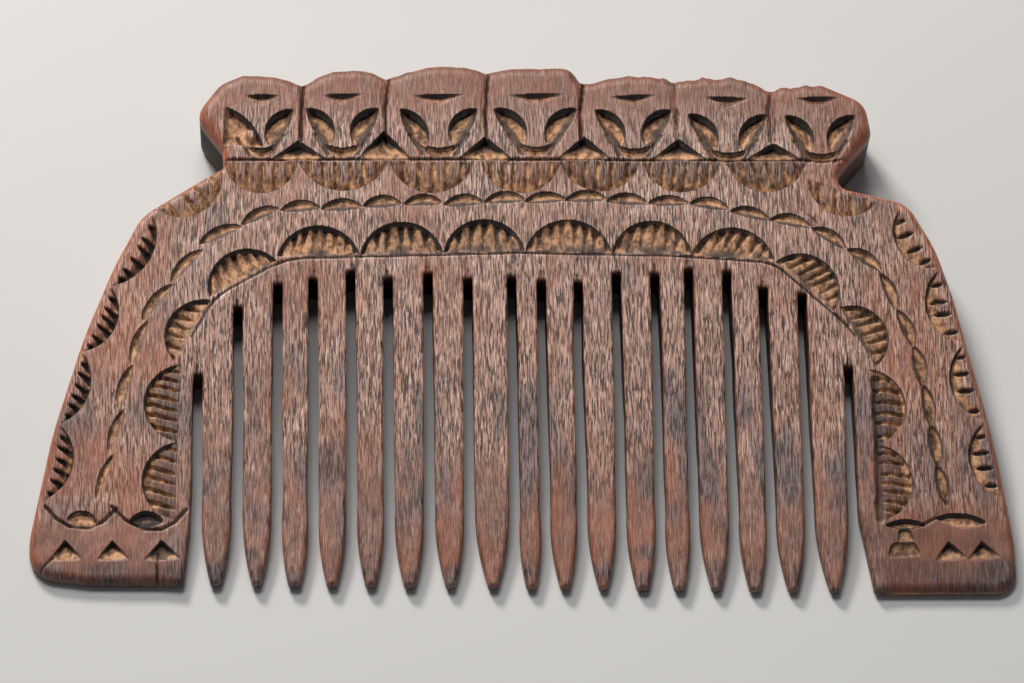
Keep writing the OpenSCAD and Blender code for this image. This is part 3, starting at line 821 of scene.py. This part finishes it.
def cheek_lines():
    """The two lines from the nose of each face out to its cheeks."""
    lines = []
    for middle, base, nose in zip(FACE_MIDDLE, FACE_BASE, NOSE_HALF):
        cheek = [(nose + 2.3, 3.9), (nose + 1.2, 2.2), (nose + 0.5, 0.9)]
        for side in (-1, 1):
            lines.append(([(middle + side * dx, base + dy) for dx, dy in cheek], 0.42, 0.35, 0.7))
    return lines


def incised_lines():
    """Every incised line: points, half width, depth, how dark."""
    arch_base = shifted(ARCH_LINE, -0.25)
    crest_base = [(-43, CREST_Y - 0.1), (-20, CREST_Y + 0.1), (47.5, CREST_Y - 0.1)]
    long_lines = [(arch_base[arch_base[:, 1] > 38], 0.23, 0.35, 0.9), (crest_base, 0.17, 0.35, 0.8)]
    lines = long_lines + SINGLE_LINES + groove_lines() + chin_lines() + saw_marks() + cheek_lines()
    return [(np.array(points, float), *rest) for points, *rest in lines]


class Field:
    """The front surface at its points: depth below the board's face, and what the wood shows there."""

    def __init__(self, x, y):
        self.x, self.y = x, y
        self.depth = np.zeros(len(x))
        self.fresh = np.zeros(len(x))
        self.dark = np.zeros(len(x))
        self.wear = np.zeros(len(x))
        self.polish = np.zeros(len(x))
        self.stain = np.zeros(len(x))

    def incise(self, line, half_width, depth, tone):
        """Sink a V-shaped line, dark at its bottom."""
        reach = half_width * 1.2
        low, high = line.min(0) - reach, line.max(0) + reach
        in_x = (self.x > low[0]) & (self.x < high[0])
        in_y = (self.y > low[1]) & (self.y < high[1])
        near = np.flatnonzero(in_x & in_y)
        distance = distance_to_segments(self.x[near], self.y[near], line[:-1], line[1:])
        wobble = 1 + 0.25 * noise(self.x[near] / 1.3, self.y[near] / 1.3, 64)
        g = np.clip(1 - distance / (half_width * wobble), 0, 1)
        self.depth[near] += depth * g ** 0.6
        self.dark[near] = np.maximum(self.dark[near], tone * ramp(g, 0.0, 0.5))


def distance_to_segments(x, y, starts, ends):
    """Distance from each point to the nearest of the segments."""
    best = np.full(len(x), 1e9)
    for (ax, ay), (bx, by) in zip(starts, ends):
        dx, dy = bx - ax, by - ay
        t = np.clip(((x - ax) * dx + (y - ay) * dy) / max(dx * dx + dy * dy, 1e-12), 0, 1)
        best = np.minimum(best, np.hypot(x - ax - t * dx, y - ay - t * dy))
    return best


def outside_teeth(x):
    """0 among the teeth, rising to 1 on the two guards."""
    return ramp(np.maximum(cut_x[0] - 1 - x, x - cut_x[-1] - 1), 0, 5)


def edge_radius(x, y):
    """How far the front is worn round at a point of the comb's edge."""
    saw = 0.26 + 0.45 * ramp(y, 22, 4)
    outer = 1.3 + 0.3 * noise(x / 9, y / 9, 65)
    teeth = (1 - outside_teeth(x)) * ramp(y, CUTS_END, CUTS_END - 2)
    radius = saw * teeth + outer * (1 - teeth)
    return radius + (CREST_ROUND - radius) * ramp(y, CREST_Y, CREST_Y + 5)


# Distances to the edge are worked out in square cells of this size, with the edge this far around
CELL = 3.0
CELL_REACH = 3.2


def rounded_drop(x, y, outline, radius_at):
    """Height lost near the comb's edge, and closeness to it from 0 to 1, cell by cell."""
    loop = resample(np.concatenate([outline, outline[:1]]), 0.8)
    starts, ends = loop[:-1], loop[1:]
    middles = (starts + ends) / 2
    radius = radius_at(middles[:, 0], middles[:, 1])
    keys = np.floor(x / CELL).astype(int) * 1000 + np.floor(y / CELL).astype(int)
    order = np.argsort(keys, kind="stable")
    drop, near_edge = np.zeros(len(x)), np.zeros(len(x))
    cuts = np.flatnonzero(np.diff(keys[order])) + 1
    for members in np.split(order, cuts):
        px, py = x[members], y[members]
        in_x = (middles[:, 0] > px.min() - CELL_REACH) & (middles[:, 0] < px.max() + CELL_REACH)
        in_y = (middles[:, 1] > py.min() - CELL_REACH) & (middles[:, 1] < py.max() + CELL_REACH)
        close = in_x & in_y
        if not close.any():
            continue
        a, b, r = starts[close], ends[close], radius[close]
        d = b - a
        t = ((px[:, None] - a[:, 0]) * d[:, 0] + (py[:, None] - a[:, 1]) * d[:, 1]) / (d ** 2).sum(1)
        t = np.clip(t, 0, 1)
        gap = np.hypot(px[:, None] - a[:, 0] - t * d[:, 0], py[:, None] - a[:, 1] - t * d[:, 1])
        q = np.clip(1 - gap / r, 0, 1)
        drop[members] = (r * (1 - np.sqrt(1 - q * q))).max(1)
        near_edge[members] = q.max(1)
    return drop, near_edge


# ---- Triangulation ----

# Kind of result wanted from the constrained triangulation: triangles inside the outline
INSIDE_ONLY = 1
# Points closer than this become one, on the front and on the back
FRONT_WELD = 1e-5
BACK_WELD = 1e-7


def inside_rows(outline, xs, ys):
    """Which points of a grid lie inside the closed outline, row by row."""
    inside = np.zeros((len(ys), len(xs)), bool)
    a, b = outline, np.roll(outline, -1, axis=0)
    for row, y in enumerate(ys):
        crosses = (a[:, 1] <= y) != (b[:, 1] <= y)
        p, q = a[crosses], b[crosses]
        hits = np.sort(p[:, 0] + (y - p[:, 1]) * (q[:, 0] - p[:, 0]) / (q[:, 1] - p[:, 1]))
        inside[row] = np.searchsorted(hits, xs) % 2 == 1
    return inside


def grid_points(outline, lines, step):
    """Even points inside the outline, none closer than about half a step to any line."""
    low, high = outline.min(0), outline.max(0)
    xs = np.arange(low[0], high[0] + step, step)
    ys = np.arange(low[1], high[1] + step, step)
    keep = inside_rows(outline, xs, ys)
    dense = np.concatenate([resample(line, step * 0.3) for line in lines])
    column = np.round((dense[:, 0] - low[0]) / step).astype(int)
    row = np.round((dense[:, 1] - low[1]) / step).astype(int)
    for dc in (-1, 0, 1):
        for dr in (-1, 0, 1):
            c = np.clip(column + dc, 0, len(xs) - 1)
            r = np.clip(row + dr, 0, len(ys) - 1)
            close = np.hypot(xs[c] - dense[:, 0], ys[r] - dense[:, 1]) < 0.52 * step
            keep[r[close], c[close]] = False
    rows, columns = np.nonzero(keep)
    return np.stack([xs[columns], ys[rows]], 1)


def mesh_plan(outline, lines, step):
    """Points and triangles of the area inside the outline, following all the lines."""
    loop = resample(np.concatenate([outline, outline[:1]]), step)[:-1]
    points = [loop]
    edges = [(i, (i + 1) % len(loop)) for i in range(len(loop))]
    count = len(loop)
    for line in lines:
        line = resample(line, step)
        points.append(line)
        edges += [(count + i, count + i + 1) for i in range(len(line) - 1)]
        count += len(line)
    closed = np.concatenate([outline, outline[:1]])
    points.append(grid_points(outline, [closed] + lines, step))
    vectors = [Vector(p) for p in np.concatenate(points).tolist()]
    result = delaunay_2d_cdt(vectors, edges, [], INSIDE_ONLY, FRONT_WELD)
    return np.array([v[:] for v in result[0]]), np.array(result[2], int)


def facing_up(points, triangles):
    """The same triangles, all anticlockwise, without those that have no area."""
    a, b, c = (points[triangles[:, k]] for k in range(3))
    area = (b[:, 0] - a[:, 0]) * (c[:, 1] - a[:, 1]) - (b[:, 1] - a[:, 1]) * (c[:, 0] - a[:, 0])
    triangles = np.where((area < 0)[:, None], triangles[:, ::-1], triangles)
    return triangles[np.abs(area) > 1e-9]


def border_edges(triangles, labels):
    """Directed edges that only one triangle of their region has, with that region."""
    edges = triangles[:, [0, 1, 1, 2, 2, 0]].reshape(-1, 2)
    owner = np.repeat(labels, 3)
    size = int(triangles.max()) + 1
    forward = (owner * size + edges[:, 0]) * size + edges[:, 1]
    backward = (owner * size + edges[:, 1]) * size + edges[:, 0]
    single = ~np.isin(forward, backward)
    return edges[single], owner[single]


def labels_of(points, triangles):
    """The region of each triangle."""
    middle = points[triangles].mean(1)
    return region_of(middle[:, 0], middle[:, 1])


# ---- Front, back and walls ----


def front_field(x, y, all_cuts):
    """All cuts and incised lines at the points of the front."""
    field = Field(x, y)
    for cut in all_cuts:
        cut.apply(field)
    for line in incised_lines():
        field.incise(*line)
    # A raised flake is left in the broken eye
    flake = np.exp(-(((x + 39.4) / 0.9) ** 2 + ((y - 69.9) / 1.1) ** 2) ** 2)
    field.depth *= 1 - 0.7 * flake
    field.fresh *= 1 - 0.9 * flake
    return field


def front_height(field, outline):
    """Height of the front at the field's points. Notes where it is worn and smooth too, darkens the crest's
    top, and paints shade along its top edge.
    """
    x, y = field.x, field.y
    on_crest = ramp(y, CREST_Y, CREST_Y + 1.5)
    smooth_ends = 0.8 * ramp(y + 4 * noise(x / 4, y / 6, 67), 26, 12)
    smooth_crest = 0.6 * ramp(y, CREST_Y + 4, CREST_Y + 11)
    smooth_feet = ramp(y, 13, 9) * outside_teeth(x)
    field.polish = np.maximum.reduce([smooth_crest, smooth_feet, smooth_ends * (1 - outside_teeth(x))])
    grain = 0.022 * noise(x / 0.42, y / 4.5, 1) + 0.016 * noise(x / 0.9, y / 8, 2)
    hollow = 0.10 * noise(x / 9, y / 13, 3) + 0.05 * noise(x / 3.2, y / 6, 5)
    pillow = np.zeros(len(x))
    for edge in GROOVE_X:
        pillow += 0.4 * np.exp(-np.abs(x - edge) / 0.7) * on_crest * ramp(y, CREST_Y + 2, CREST_Y + 7)
    drop, near_edge = rounded_drop(x, y, outline, edge_radius)
    outer = np.maximum(outside_teeth(x), ramp(y, 50, 54))
    field.wear = ramp(near_edge, 0.35 - 0.3 * outer, 0.9) * (0.3 + 0.7 * outer) * ramp(y, 1.5, 6)
    handled = outside_teeth(x) * (0.12 + 0.35 * ramp(noise(x / 7, y / 9, 66), -0.3, 0.6))
    field.wear = np.maximum(field.wear, handled * ramp(y, CREST_Y, CREST_Y - 10))
    field.wear = np.maximum(field.wear, 0.3 * smooth_ends * ramp(noise(x / 3, y / 5, 68), -0.2, 0.6))
    # The crest's top is worn and darker; along its top edge painted shade darkens it more.
    forehead = ramp(y + 1.5 * noise(x / 3, y / 3, 82), CREST_Y + 4, CREST_Y + 12)
    top_edge_shade = ramp(near_edge, 0.1, 0.8) * ramp(y, CREST_Y + 9, CREST_Y + 12)
    field.wear = np.maximum(field.wear, 0.4 * forehead)
    field.dark = np.maximum(field.dark, 0.22 * forehead + 0.3 * top_edge_shade)
    sunk = field.depth * (1 - 0.5 * ramp(near_edge, 0.5, 1))
    z = face_z(y) - sunk - drop - pillow - 0.12 + hollow + grain * (1 - field.polish)
    return np.maximum(z, 0.75 + 0.25 * drop)


def back_edge_radius(_x, y):
    """How far the back is worn round at a point of the comb's edge."""
    return np.where(y < CUTS_END, 0.55, 0.8)


# Rows of faces between the front's edge and the back's
WALL_RINGS = 5


def region_mesh(index, front, back, border):
    """One closed mesh of region `index`: front, walls and back sharing their edge points."""
    points, triangles, labels, heights = front
    back_points, back_triangles, back_labels, back_heights, front_of_back = back
    edges = border[0][border[1] == index]
    rim = np.unique(edges)
    mine, back_mine = triangles[labels == index], back_triangles[back_labels == index]
    used = np.unique(mine)
    back_used = np.unique(back_mine)
    back_inner = back_used[front_of_back[back_used] < 0]
    has_front = front_of_back >= 0
    rim_back_height = dict(zip(front_of_back[has_front].tolist(), back_heights[has_front].tolist()))
    bottom = np.array([rim_back_height.get(int(r), 0.5) for r in rim])
    place = {}
    coords, source = [], []

    def add(xy, z, origin):
        """Keep more points, with the front point that each belongs to."""
        coords.append(np.column_stack([xy, z]))
        source.append(origin)

    add(points[used], heights[used], used)
    ring_start = [None] * (WALL_RINGS + 1)
    count = len(used)
    top = heights[rim]
    for k in range(1, WALL_RINGS + 1):
        ring_start[k] = count
        add(points[rim], top + (bottom - top) * k / WALL_RINGS, rim)
        count += len(rim)
    inner_start = count
    add(back_points[back_inner], back_heights[back_inner], np.full(len(back_inner), -1))
    new_index = np.full(len(points), -1)
    new_index[used] = np.arange(len(used))
    rim_order = np.full(len(points), -1)
    rim_order[rim] = np.arange(len(rim))
    faces = [new_index[mine]]
    a, b = edges[:, 0], edges[:, 1]
    for k in range(WALL_RINGS):
        upper_a = new_index[a] if k == 0 else ring_start[k] + rim_order[a]
        upper_b = new_index[b] if k == 0 else ring_start[k] + rim_order[b]
        lower_a, lower_b = ring_start[k + 1] + rim_order[a], ring_start[k + 1] + rim_order[b]
        faces.append(np.column_stack([upper_b, upper_a, lower_a]))
        faces.append(np.column_stack([upper_b, lower_a, lower_b]))
    back_index = np.full(len(back_points), -1)
    back_index[back_inner] = inner_start + np.arange(len(back_inner))
    shared = back_used[front_of_back[back_used] >= 0]
    back_index[shared] = ring_start[WALL_RINGS] + rim_order[front_of_back[shared]]
    faces.append(back_index[back_mine][:, ::-1])
    return np.concatenate(coords), np.concatenate(faces), np.concatenate(source), used


def make_piece(name, coords, faces, attributes, sharp_pairs):
    """A mesh object from arrays in board millimetres, with one float attribute per look.

    sharp_pairs are the pairs of points whose edge stays crisp.
    """
    metres = coords.copy()
    metres[:, 1] += BOARD_Y0
    metres /= MM
    mesh = bpy.data.meshes.new(name)
    mesh.vertices.add(len(metres))
    mesh.vertices.foreach_set("co", metres.astype(np.float32).ravel())
    mesh.loops.add(len(faces) * 3)
    mesh.loops.foreach_set("vertex_index", faces.astype(np.int32).ravel())
    mesh.polygons.add(len(faces))
    mesh.polygons.foreach_set("loop_start", np.arange(0, len(faces) * 3, 3, dtype=np.int32))
    mesh.polygons.foreach_set("use_smooth", np.ones(len(faces), bool))
    mesh.update(calc_edges=True)
    mesh.validate()
    for key, values in attributes.items():
        layer = mesh.attributes.new(key, "FLOAT", "POINT")
        layer.data.foreach_set("value", values.astype(np.float32))
    pairs = np.sort(sharp_pairs, axis=1)
    ends = np.zeros(len(mesh.edges) * 2, np.int32)
    mesh.edges.foreach_get("vertices", ends)
    ends = np.sort(ends.reshape(-1, 2), axis=1).astype(np.int64)
    is_sharp = np.isin(ends[:, 0] * len(metres) + ends[:, 1], pairs[:, 0] * len(metres) + pairs[:, 1])
    layer = mesh.attributes.new("sharp_edge", "BOOLEAN", "EDGE")
    layer.data.foreach_set("value", is_sharp)
    piece = bpy.data.objects.new(name, mesh)
    bpy.context.scene.collection.objects.link(piece)
    return piece


# ---- Material ----


class Nodes:
    """Short ways to add and join shader nodes."""

    def __init__(self, material):
        material.use_nodes = True
        self.tree = material.node_tree
        self.tree.nodes.clear()

    def add(self, kind, **settings):
        """A node with its settings. Those that start with in_ are values of its inputs."""
        node = self.tree.nodes.new(kind)
        for key, value in settings.items():
            if key.startswith("in_"):
                node.inputs[key[3:].replace("_", " ")].default_value = value
            else:
                setattr(node, key, value)
        return node

    def link(self, output, socket):
        """Join an output to a socket."""
        self.tree.links.new(output, socket)

    def math(self, operation, a, b):
        """Sum, difference, product or maximum of two values."""
        node = self.add("ShaderNodeMath", operation=operation)
        for socket, value in zip(node.inputs, (a, b)):
            if isinstance(value, (int, float)):
                socket.default_value = value
            else:
                self.link(value, socket)
        return node.outputs[0]

    def mix(self, factor, a, b):
        """Colour a where the factor is 0, colour b where it is 1."""
        node = self.add("ShaderNodeMix", data_type="RGBA")
        for socket, value in ((node.inputs[0], factor), (node.inputs[6], a), (node.inputs[7], b)):
            if isinstance(value, (int, float)):
                socket.default_value = value
            elif isinstance(value, tuple):
                socket.default_value = value + (1,)
            else:
                self.link(value, socket)
        return node.outputs[2]

    def attribute(self, name):
        """A value that the mesh keeps at its points."""
        return self.add("ShaderNodeAttribute", attribute_name=name).outputs["Fac"]

    def stretched_noise(self, scales, detail=4.0, roughness=0.6, offset=0.0):
        """Noise over the board's millimetres, each axis with its own number of features per mm."""
        coordinates = self.add("ShaderNodeTexCoord").outputs["Object"]
        mapping = self.add("ShaderNodeMapping")
        mapping.inputs["Scale"].default_value = [s * MM for s in scales]
        mapping.inputs["Location"].default_value = (offset, offset * 0.7, offset * 0.3)
        self.link(coordinates, mapping.inputs["Vector"])
        texture = self.add("ShaderNodeTexNoise", in_Scale=1.0, in_Detail=detail, in_Roughness=roughness)
        self.link(mapping.outputs[0], texture.inputs["Vector"])
        return texture.outputs["Fac"]

    def levels(self, value, low, high):
        """0 below low, 1 above high, smooth between them."""
        node = self.add("ShaderNodeMapRange", interpolation_type="SMOOTHSTEP")
        self.link(value, node.inputs["Value"])
        node.inputs["From Min"].default_value = low
        node.inputs["From Max"].default_value = high
        return node.outputs[0]


def wood_material(name):
    """Dark red palm-like wood: fine grain with painted glints, worn edges, paler cuts, slate stains, and
    near-black dirt and painted shade.
    """
    material = bpy.data.materials.new(name)
    n = Nodes(material)
    fine = n.stretched_noise((4.9, 0.42, 0.8), 3.0, 0.62)
    streak = n.stretched_noise((1.3, 0.10, 0.3), 3.0, 0.6, 7.0)
    patch = n.stretched_noise((0.09, 0.05, 0.1), 3.0, 0.55, 3.0)
    mottle = n.stretched_noise((0.55, 0.45, 0.5), 5.0, 0.65, 13.0)
    glint = n.stretched_noise((5.0, 0.46, 1.0), 2.0, 0.5, 11.0)
    polish = n.attribute("polish")
    fibre = n.mix(n.levels(fine, 0.435, 0.565), (0.038, 0.016, 0.010), (0.44, 0.245, 0.178))
    even = n.mix(n.levels(mottle, 0.34, 0.64), (0.135, 0.062, 0.046), (0.31, 0.145, 0.102))
    body = n.mix(n.math("MULTIPLY", polish, 0.85), fibre, even)
    plain = n.math("SUBTRACT", 1.0, n.math("MULTIPLY", polish, 0.8))
    body = n.mix(n.math("MULTIPLY", n.levels(streak, 0.45, 0.70), n.math("MULTIPLY", plain, 0.5)), body,
                 (0.15, 0.060, 0.038))
    # Painted glints: pale specks where the glint noise is high, fewer where polished.
    painted_glints = n.math("MULTIPLY", n.levels(glint, 0.53, 0.66), n.math("MULTIPLY", plain, 0.85))
    body = n.mix(painted_glints, body, (0.68, 0.475, 0.395))
    body = n.mix(n.math("MULTIPLY", n.levels(patch, 0.46, 0.70), 0.5), body, (0.27, 0.085, 0.042))
    stain = n.attribute("stain")
    stain_tone = n.mix(n.levels(fine, 0.42, 0.60), (0.024, 0.018, 0.018), (0.20, 0.155, 0.15))
    body = n.mix(stain, body, stain_tone)
    wear = n.attribute("wear")
    wear_break = n.stretched_noise((0.35, 0.16, 0.3), 4.0, 0.65, 5.0)
    worn = n.math("MULTIPLY", wear, n.levels(wear_break, 0.22, 0.50))
    body = n.mix(n.math("MULTIPLY", worn, 0.85), body, (0.36, 0.095, 0.034))
    cut_noise = n.stretched_noise((1.0, 0.6, 0.8), 5.0, 0.7, 9.0)
    cut_wood = n.mix(n.levels(cut_noise, 0.38, 0.60), (0.14, 0.060, 0.029), (0.59, 0.315, 0.158))
    body = n.mix(n.attribute("fresh"), body, cut_wood)
    # Near-black for the dark attribute, which holds both dirt and painted shade.
    grime_and_shade = n.mix(n.levels(cut_noise, 0.35, 0.7), (0.004, 0.003, 0.003), (0.022, 0.014, 0.012))
    body = n.mix(n.attribute("dark"), body, grime_and_shade)
    bump_height = n.math("ADD", fine, n.math("MULTIPLY", glint, 0.6))
    bump = n.add("ShaderNodeBump", in_Strength=0.7, in_Distance=0.00014)
    n.link(bump_height, bump.inputs["Height"])
    covered = n.math("MAXIMUM", n.attribute("fresh"), n.attribute("dark"))
    rough = n.math("ADD", n.math("MULTIPLY", covered, 0.35), n.math("MULTIPLY", fine, 0.25))
    shader = n.add("ShaderNodeBsdfPrincipled")
    n.link(body, shader.inputs["Base Color"])
    n.link(n.math("ADD", rough, 0.28), shader.inputs["Roughness"])
    n.link(bump.outputs[0], shader.inputs["Normal"])
    output = n.add("ShaderNodeOutputMaterial")
    n.link(shader.outputs[0], output.inputs["Surface"])
    return material


def floor_material():
    """Plain pale floor, very slightly cloudy."""
    material = bpy.data.materials.new("pale_floor")
    n = Nodes(material)
    cloud = n.stretched_noise((0.004, 0.004, 0.004), 2.0, 0.5)
    tone = n.mix(n.levels(cloud, 0.3, 0.7), (0.55, 0.55, 0.54), (0.58, 0.58, 0.57))
    shader = n.add("ShaderNodeBsdfPrincipled", in_Roughness=0.8)
    n.link(tone, shader.inputs["Base Color"])
    output = n.add("ShaderNodeOutputMaterial")
    n.link(shader.outputs[0], output.inputs["Surface"])
    return material


# ---- Light and camera ----


def add_area_light(name, place, target, size, power, tint):
    """Soft rectangular light at a place, turned to its target."""
    light = bpy.data.lights.new(name, "AREA")
    light.shape = "RECTANGLE"
    light.size, light.size_y = size
    light.energy = power
    light.color = tint
    lamp = bpy.data.objects.new(name, light)
    bpy.context.scene.collection.objects.link(lamp)
    lamp.location = place
    lamp.rotation_euler = (Vector(target) - Vector(place)).to_track_quat("-Z", "Y").to_euler()


def add_camera():
    """Long lens from the tooth side, high above the table, turned a little to level the comb."""
    elevation, azimuth, roll = (math.radians(a) for a in (64.0, -5.28, 4.71))
    distance = 0.6475
    target = Vector((-1.35, 37.85 + BOARD_Y0, 6.0)) / MM
    away = Vector((
        math.sin(azimuth) * math.cos(elevation), -math.cos(azimuth) * math.cos(elevation),
        math.sin(elevation),
    ))
    forward = -away
    right = forward.cross(Vector((0, 0, 1))).normalized()
    up = right.cross(forward)
    turned_right = math.cos(roll) * right + math.sin(roll) * up
    turned_up = -math.sin(roll) * right + math.cos(roll) * up
    data = bpy.data.cameras.new("camera")
    data.sensor_width = 36
    data.lens = 156.6
    data.clip_start, data.clip_end = 0.01, 20
    camera = bpy.data.objects.new("camera", data)
    bpy.context.scene.collection.objects.link(camera)
    turn = Matrix((turned_right, turned_up, away)).transposed()
    camera.matrix_world = Matrix.Translation(target + away * distance) @ turn.to_4x4()
    bpy.context.scene.camera = camera


def add_stage():
    """Floor, pale surroundings, a high soft light and a lower one from the crest side."""
    bpy.ops.mesh.primitive_plane_add(size=3, location=(0, 0, -0.00002))
    floor = bpy.context.object
    floor.name = "floor"
    floor.data.materials.append(floor_material())
    world = bpy.data.worlds.new("studio")
    bpy.context.scene.world = world
    world.use_nodes = True
    world.node_tree.nodes["Background"].inputs["Color"].default_value = (0.80, 0.83, 0.88, 1)
    world.node_tree.nodes["Background"].inputs["Strength"].default_value = 0.15
    add_area_light("sheen", (-0.12, 0.34, 0.70), (0, 0, 0), (0.40, 0.25), 3.5, (1.0, 0.97, 0.95))
    add_area_light("key", (-0.26, 0.54, 0.41), (-0.01, 0.01, 0), (0.17, 0.14), 4.9, (1.0, 0.96, 0.92))
    bpy.context.scene.view_settings.view_transform = "Standard"


# ---- Build ----


def build_back(outline, front_points, border):
    """Points and triangles of the back, which shares the rims of the front's regions.

    Also gives the front point behind each back point, or -1 where there is none.
    """
    rim_points = np.unique(border[0])
    rim_place = {int(v): k for k, v in enumerate(rim_points)}
    rim_edges = np.unique(np.sort(border[0], axis=1), axis=0)
    inner = grid_points(outline, [front_points[pair] for pair in rim_edges], BACK_GRID)
    vectors = [Vector(p) for p in np.concatenate([front_points[rim_points], inner]).tolist()]
    edges = [(rim_place[int(a)], rim_place[int(b)]) for a, b in rim_edges]
    result = delaunay_2d_cdt(vectors, edges, [], INSIDE_ONLY, BACK_WELD)
    points = np.array([v[:] for v in result[0]])
    triangles = facing_up(points, np.array(result[2], int))
    front_of_back = np.full(len(points), -1)
    for k, origins in enumerate(result[3]):
        for origin in origins:
            if origin < len(rim_points):
                front_of_back[k] = rim_points[origin]
    return points, triangles, front_of_back


def add_stains(field):
    """Slate stains on the teeth, the feet and here and there, dirt on the left foot, and painted shade on the
    right foot.
    """
    x, y = field.x, field.y
    blotch = noise(x / 3.5, y / 9, 71) + 0.45 * noise(x / 1.2, y / 3, 72)
    on_teeth = ramp(y, 8, 14) * ramp(y, 37, 26) * ramp(blotch, -0.15, 0.8)
    on_feet = ramp(y, 10, 5) * ramp(noise(x / 4.5, y / 3, 73) + 0.6 * ramp(x, 40, 60), 0.0, 0.6)
    on_left_foot = ramp(y + 0.8 * noise(x / 2, y / 2, 69), 5.5, 3.8) * ramp(x, -65, -61.5) * ramp(x, -40, -48)
    on_tips = ramp(y, 6, 2) * ramp(noise(x / 2.5, y / 2, 74), -0.6, 0.5)
    on_crest = ramp(y, CREST_Y, CREST_Y + 3) * ramp(x, -12, 0)
    scattered = ramp(noise(x / 5, y / 8, 75) + 0.4 * noise(x / 1.2, y / 4, 76), 0.55, 1.0)
    scattered *= ramp(y, CREST_Y, CREST_Y - 4)
    on_guards = ramp(np.abs(x), 46, 54) * ramp(noise(x / 3, y / 6, 77), 0.25, 0.8)
    field.stain = np.maximum.reduce([
        0.8 * on_teeth, 0.85 * on_feet, 0.8 * on_left_foot, 0.7 * on_tips, 0.14 * on_crest,
        0.45 * scattered, 0.45 * on_guards,
    ])
    # Painted shade over the right foot, uneven.
    right_foot = ramp(x, 45, 50) * ramp(y + 2 * noise(x / 3, y / 3, 80), 15, 8)
    right_foot_shade = (0.36 + 0.12 * noise(x / 3, y / 2, 81)) * right_foot
    field.dark = np.maximum.reduce([field.dark, right_foot_shade, 0.3 * on_left_foot])


def looks_of(coords, source, field, front_count):
    """The looks at a region's points: the front's, changed on the walls and the back."""
    from_front = source >= 0
    looks = {}
    for key in ("fresh", "dark", "wear", "stain", "polish"):
        values = np.zeros(len(coords))
        values[from_front] = getattr(field, key)[source[from_front]]
        looks[key] = values
    x, y, z = coords.T
    walls = from_front & (np.arange(len(coords)) >= front_count)
    among_teeth = (x > cut_x[0] - 2) & (x < cut_x[-1] + 2) & (y < CUTS_END - 1)
    # Painted shade darkens the walls under the crest's ends. Among the teeth the walls are dark, more so
    # towards the cuts' closed ends, and all walls get cloudy dark patches.
    shade_under_crest = ramp(np.abs(x), 38, 42) * ramp(y, 58, 64) * ramp(y, 78, 72)
    wall_dirt_and_shade = np.where(among_teeth, 0.5 + 0.4 * ramp(y, 28, 40), 0.12 + 0.7 * shade_under_crest)
    cloud = noise(x / 6 + y / 9, z / 5, 78)
    looks["dark"][walls] = (wall_dirt_and_shade + 0.22 * ramp(cloud, 0.1, -0.7))[walls]
    looks["wear"][walls] *= (0.3 + 0.25 * ramp(cloud, 0.0, 0.8))[walls]
    looks["fresh"][front_count:] *= 0.3
    back = ~from_front
    looks["stain"][back] = (0.4 * ramp(noise(x / 9, y / 14, 79), 0.0, 0.8))[back]
    looks["polish"][back] = 0.3
    return looks


def build_comb():
    """Triangulate the front and the back once, then make one closed piece of each region."""
    all_cuts = arch_moons() + crest_moons() + edge_moons() + chain_cuts() + foot_cuts() + crest_cuts()
    outline = comb_outline()
    cut_lines = [line for cut in all_cuts for line in cut.lines(GRID)]
    points, triangles = mesh_plan(outline, seam_lines() + cut_lines, GRID)
    triangles = facing_up(points, triangles)
    labels = labels_of(points, triangles)
    border = border_edges(triangles, labels)
    field = front_field(points[:, 0], points[:, 1], all_cuts)
    front = (points, triangles, labels, front_height(field, outline))
    add_stains(field)

    back_points, back_triangles, front_of_back = build_back(outline, points, border)
    back_heights = rounded_drop(back_points[:, 0], back_points[:, 1], outline, back_edge_radius)[0]
    back = (back_points, back_triangles, labels_of(back_points, back_triangles), back_heights, front_of_back)

    materials = {slot: wood_material(slot) for slot in ("carved_wood", "tooth_wood")}
    for index, name in enumerate(REGION_NAMES):
        coords, faces, source, used = region_mesh(index, front, back, border)
        new_index = np.full(len(points), -1)
        new_index[used] = np.arange(len(used))
        rim_edges = new_index[border[0][border[1] == index]]
        looks = looks_of(coords, source, field, len(used))
        piece = make_piece(name + "_carved", coords, faces, looks, rim_edges)
        slot = "tooth_wood" if name in TOOTH_NAMES else "carved_wood"
        piece.data.materials.append(materials[slot])
        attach(piece, "root")
        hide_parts(name)


build_comb()
add_camera()
add_stage()
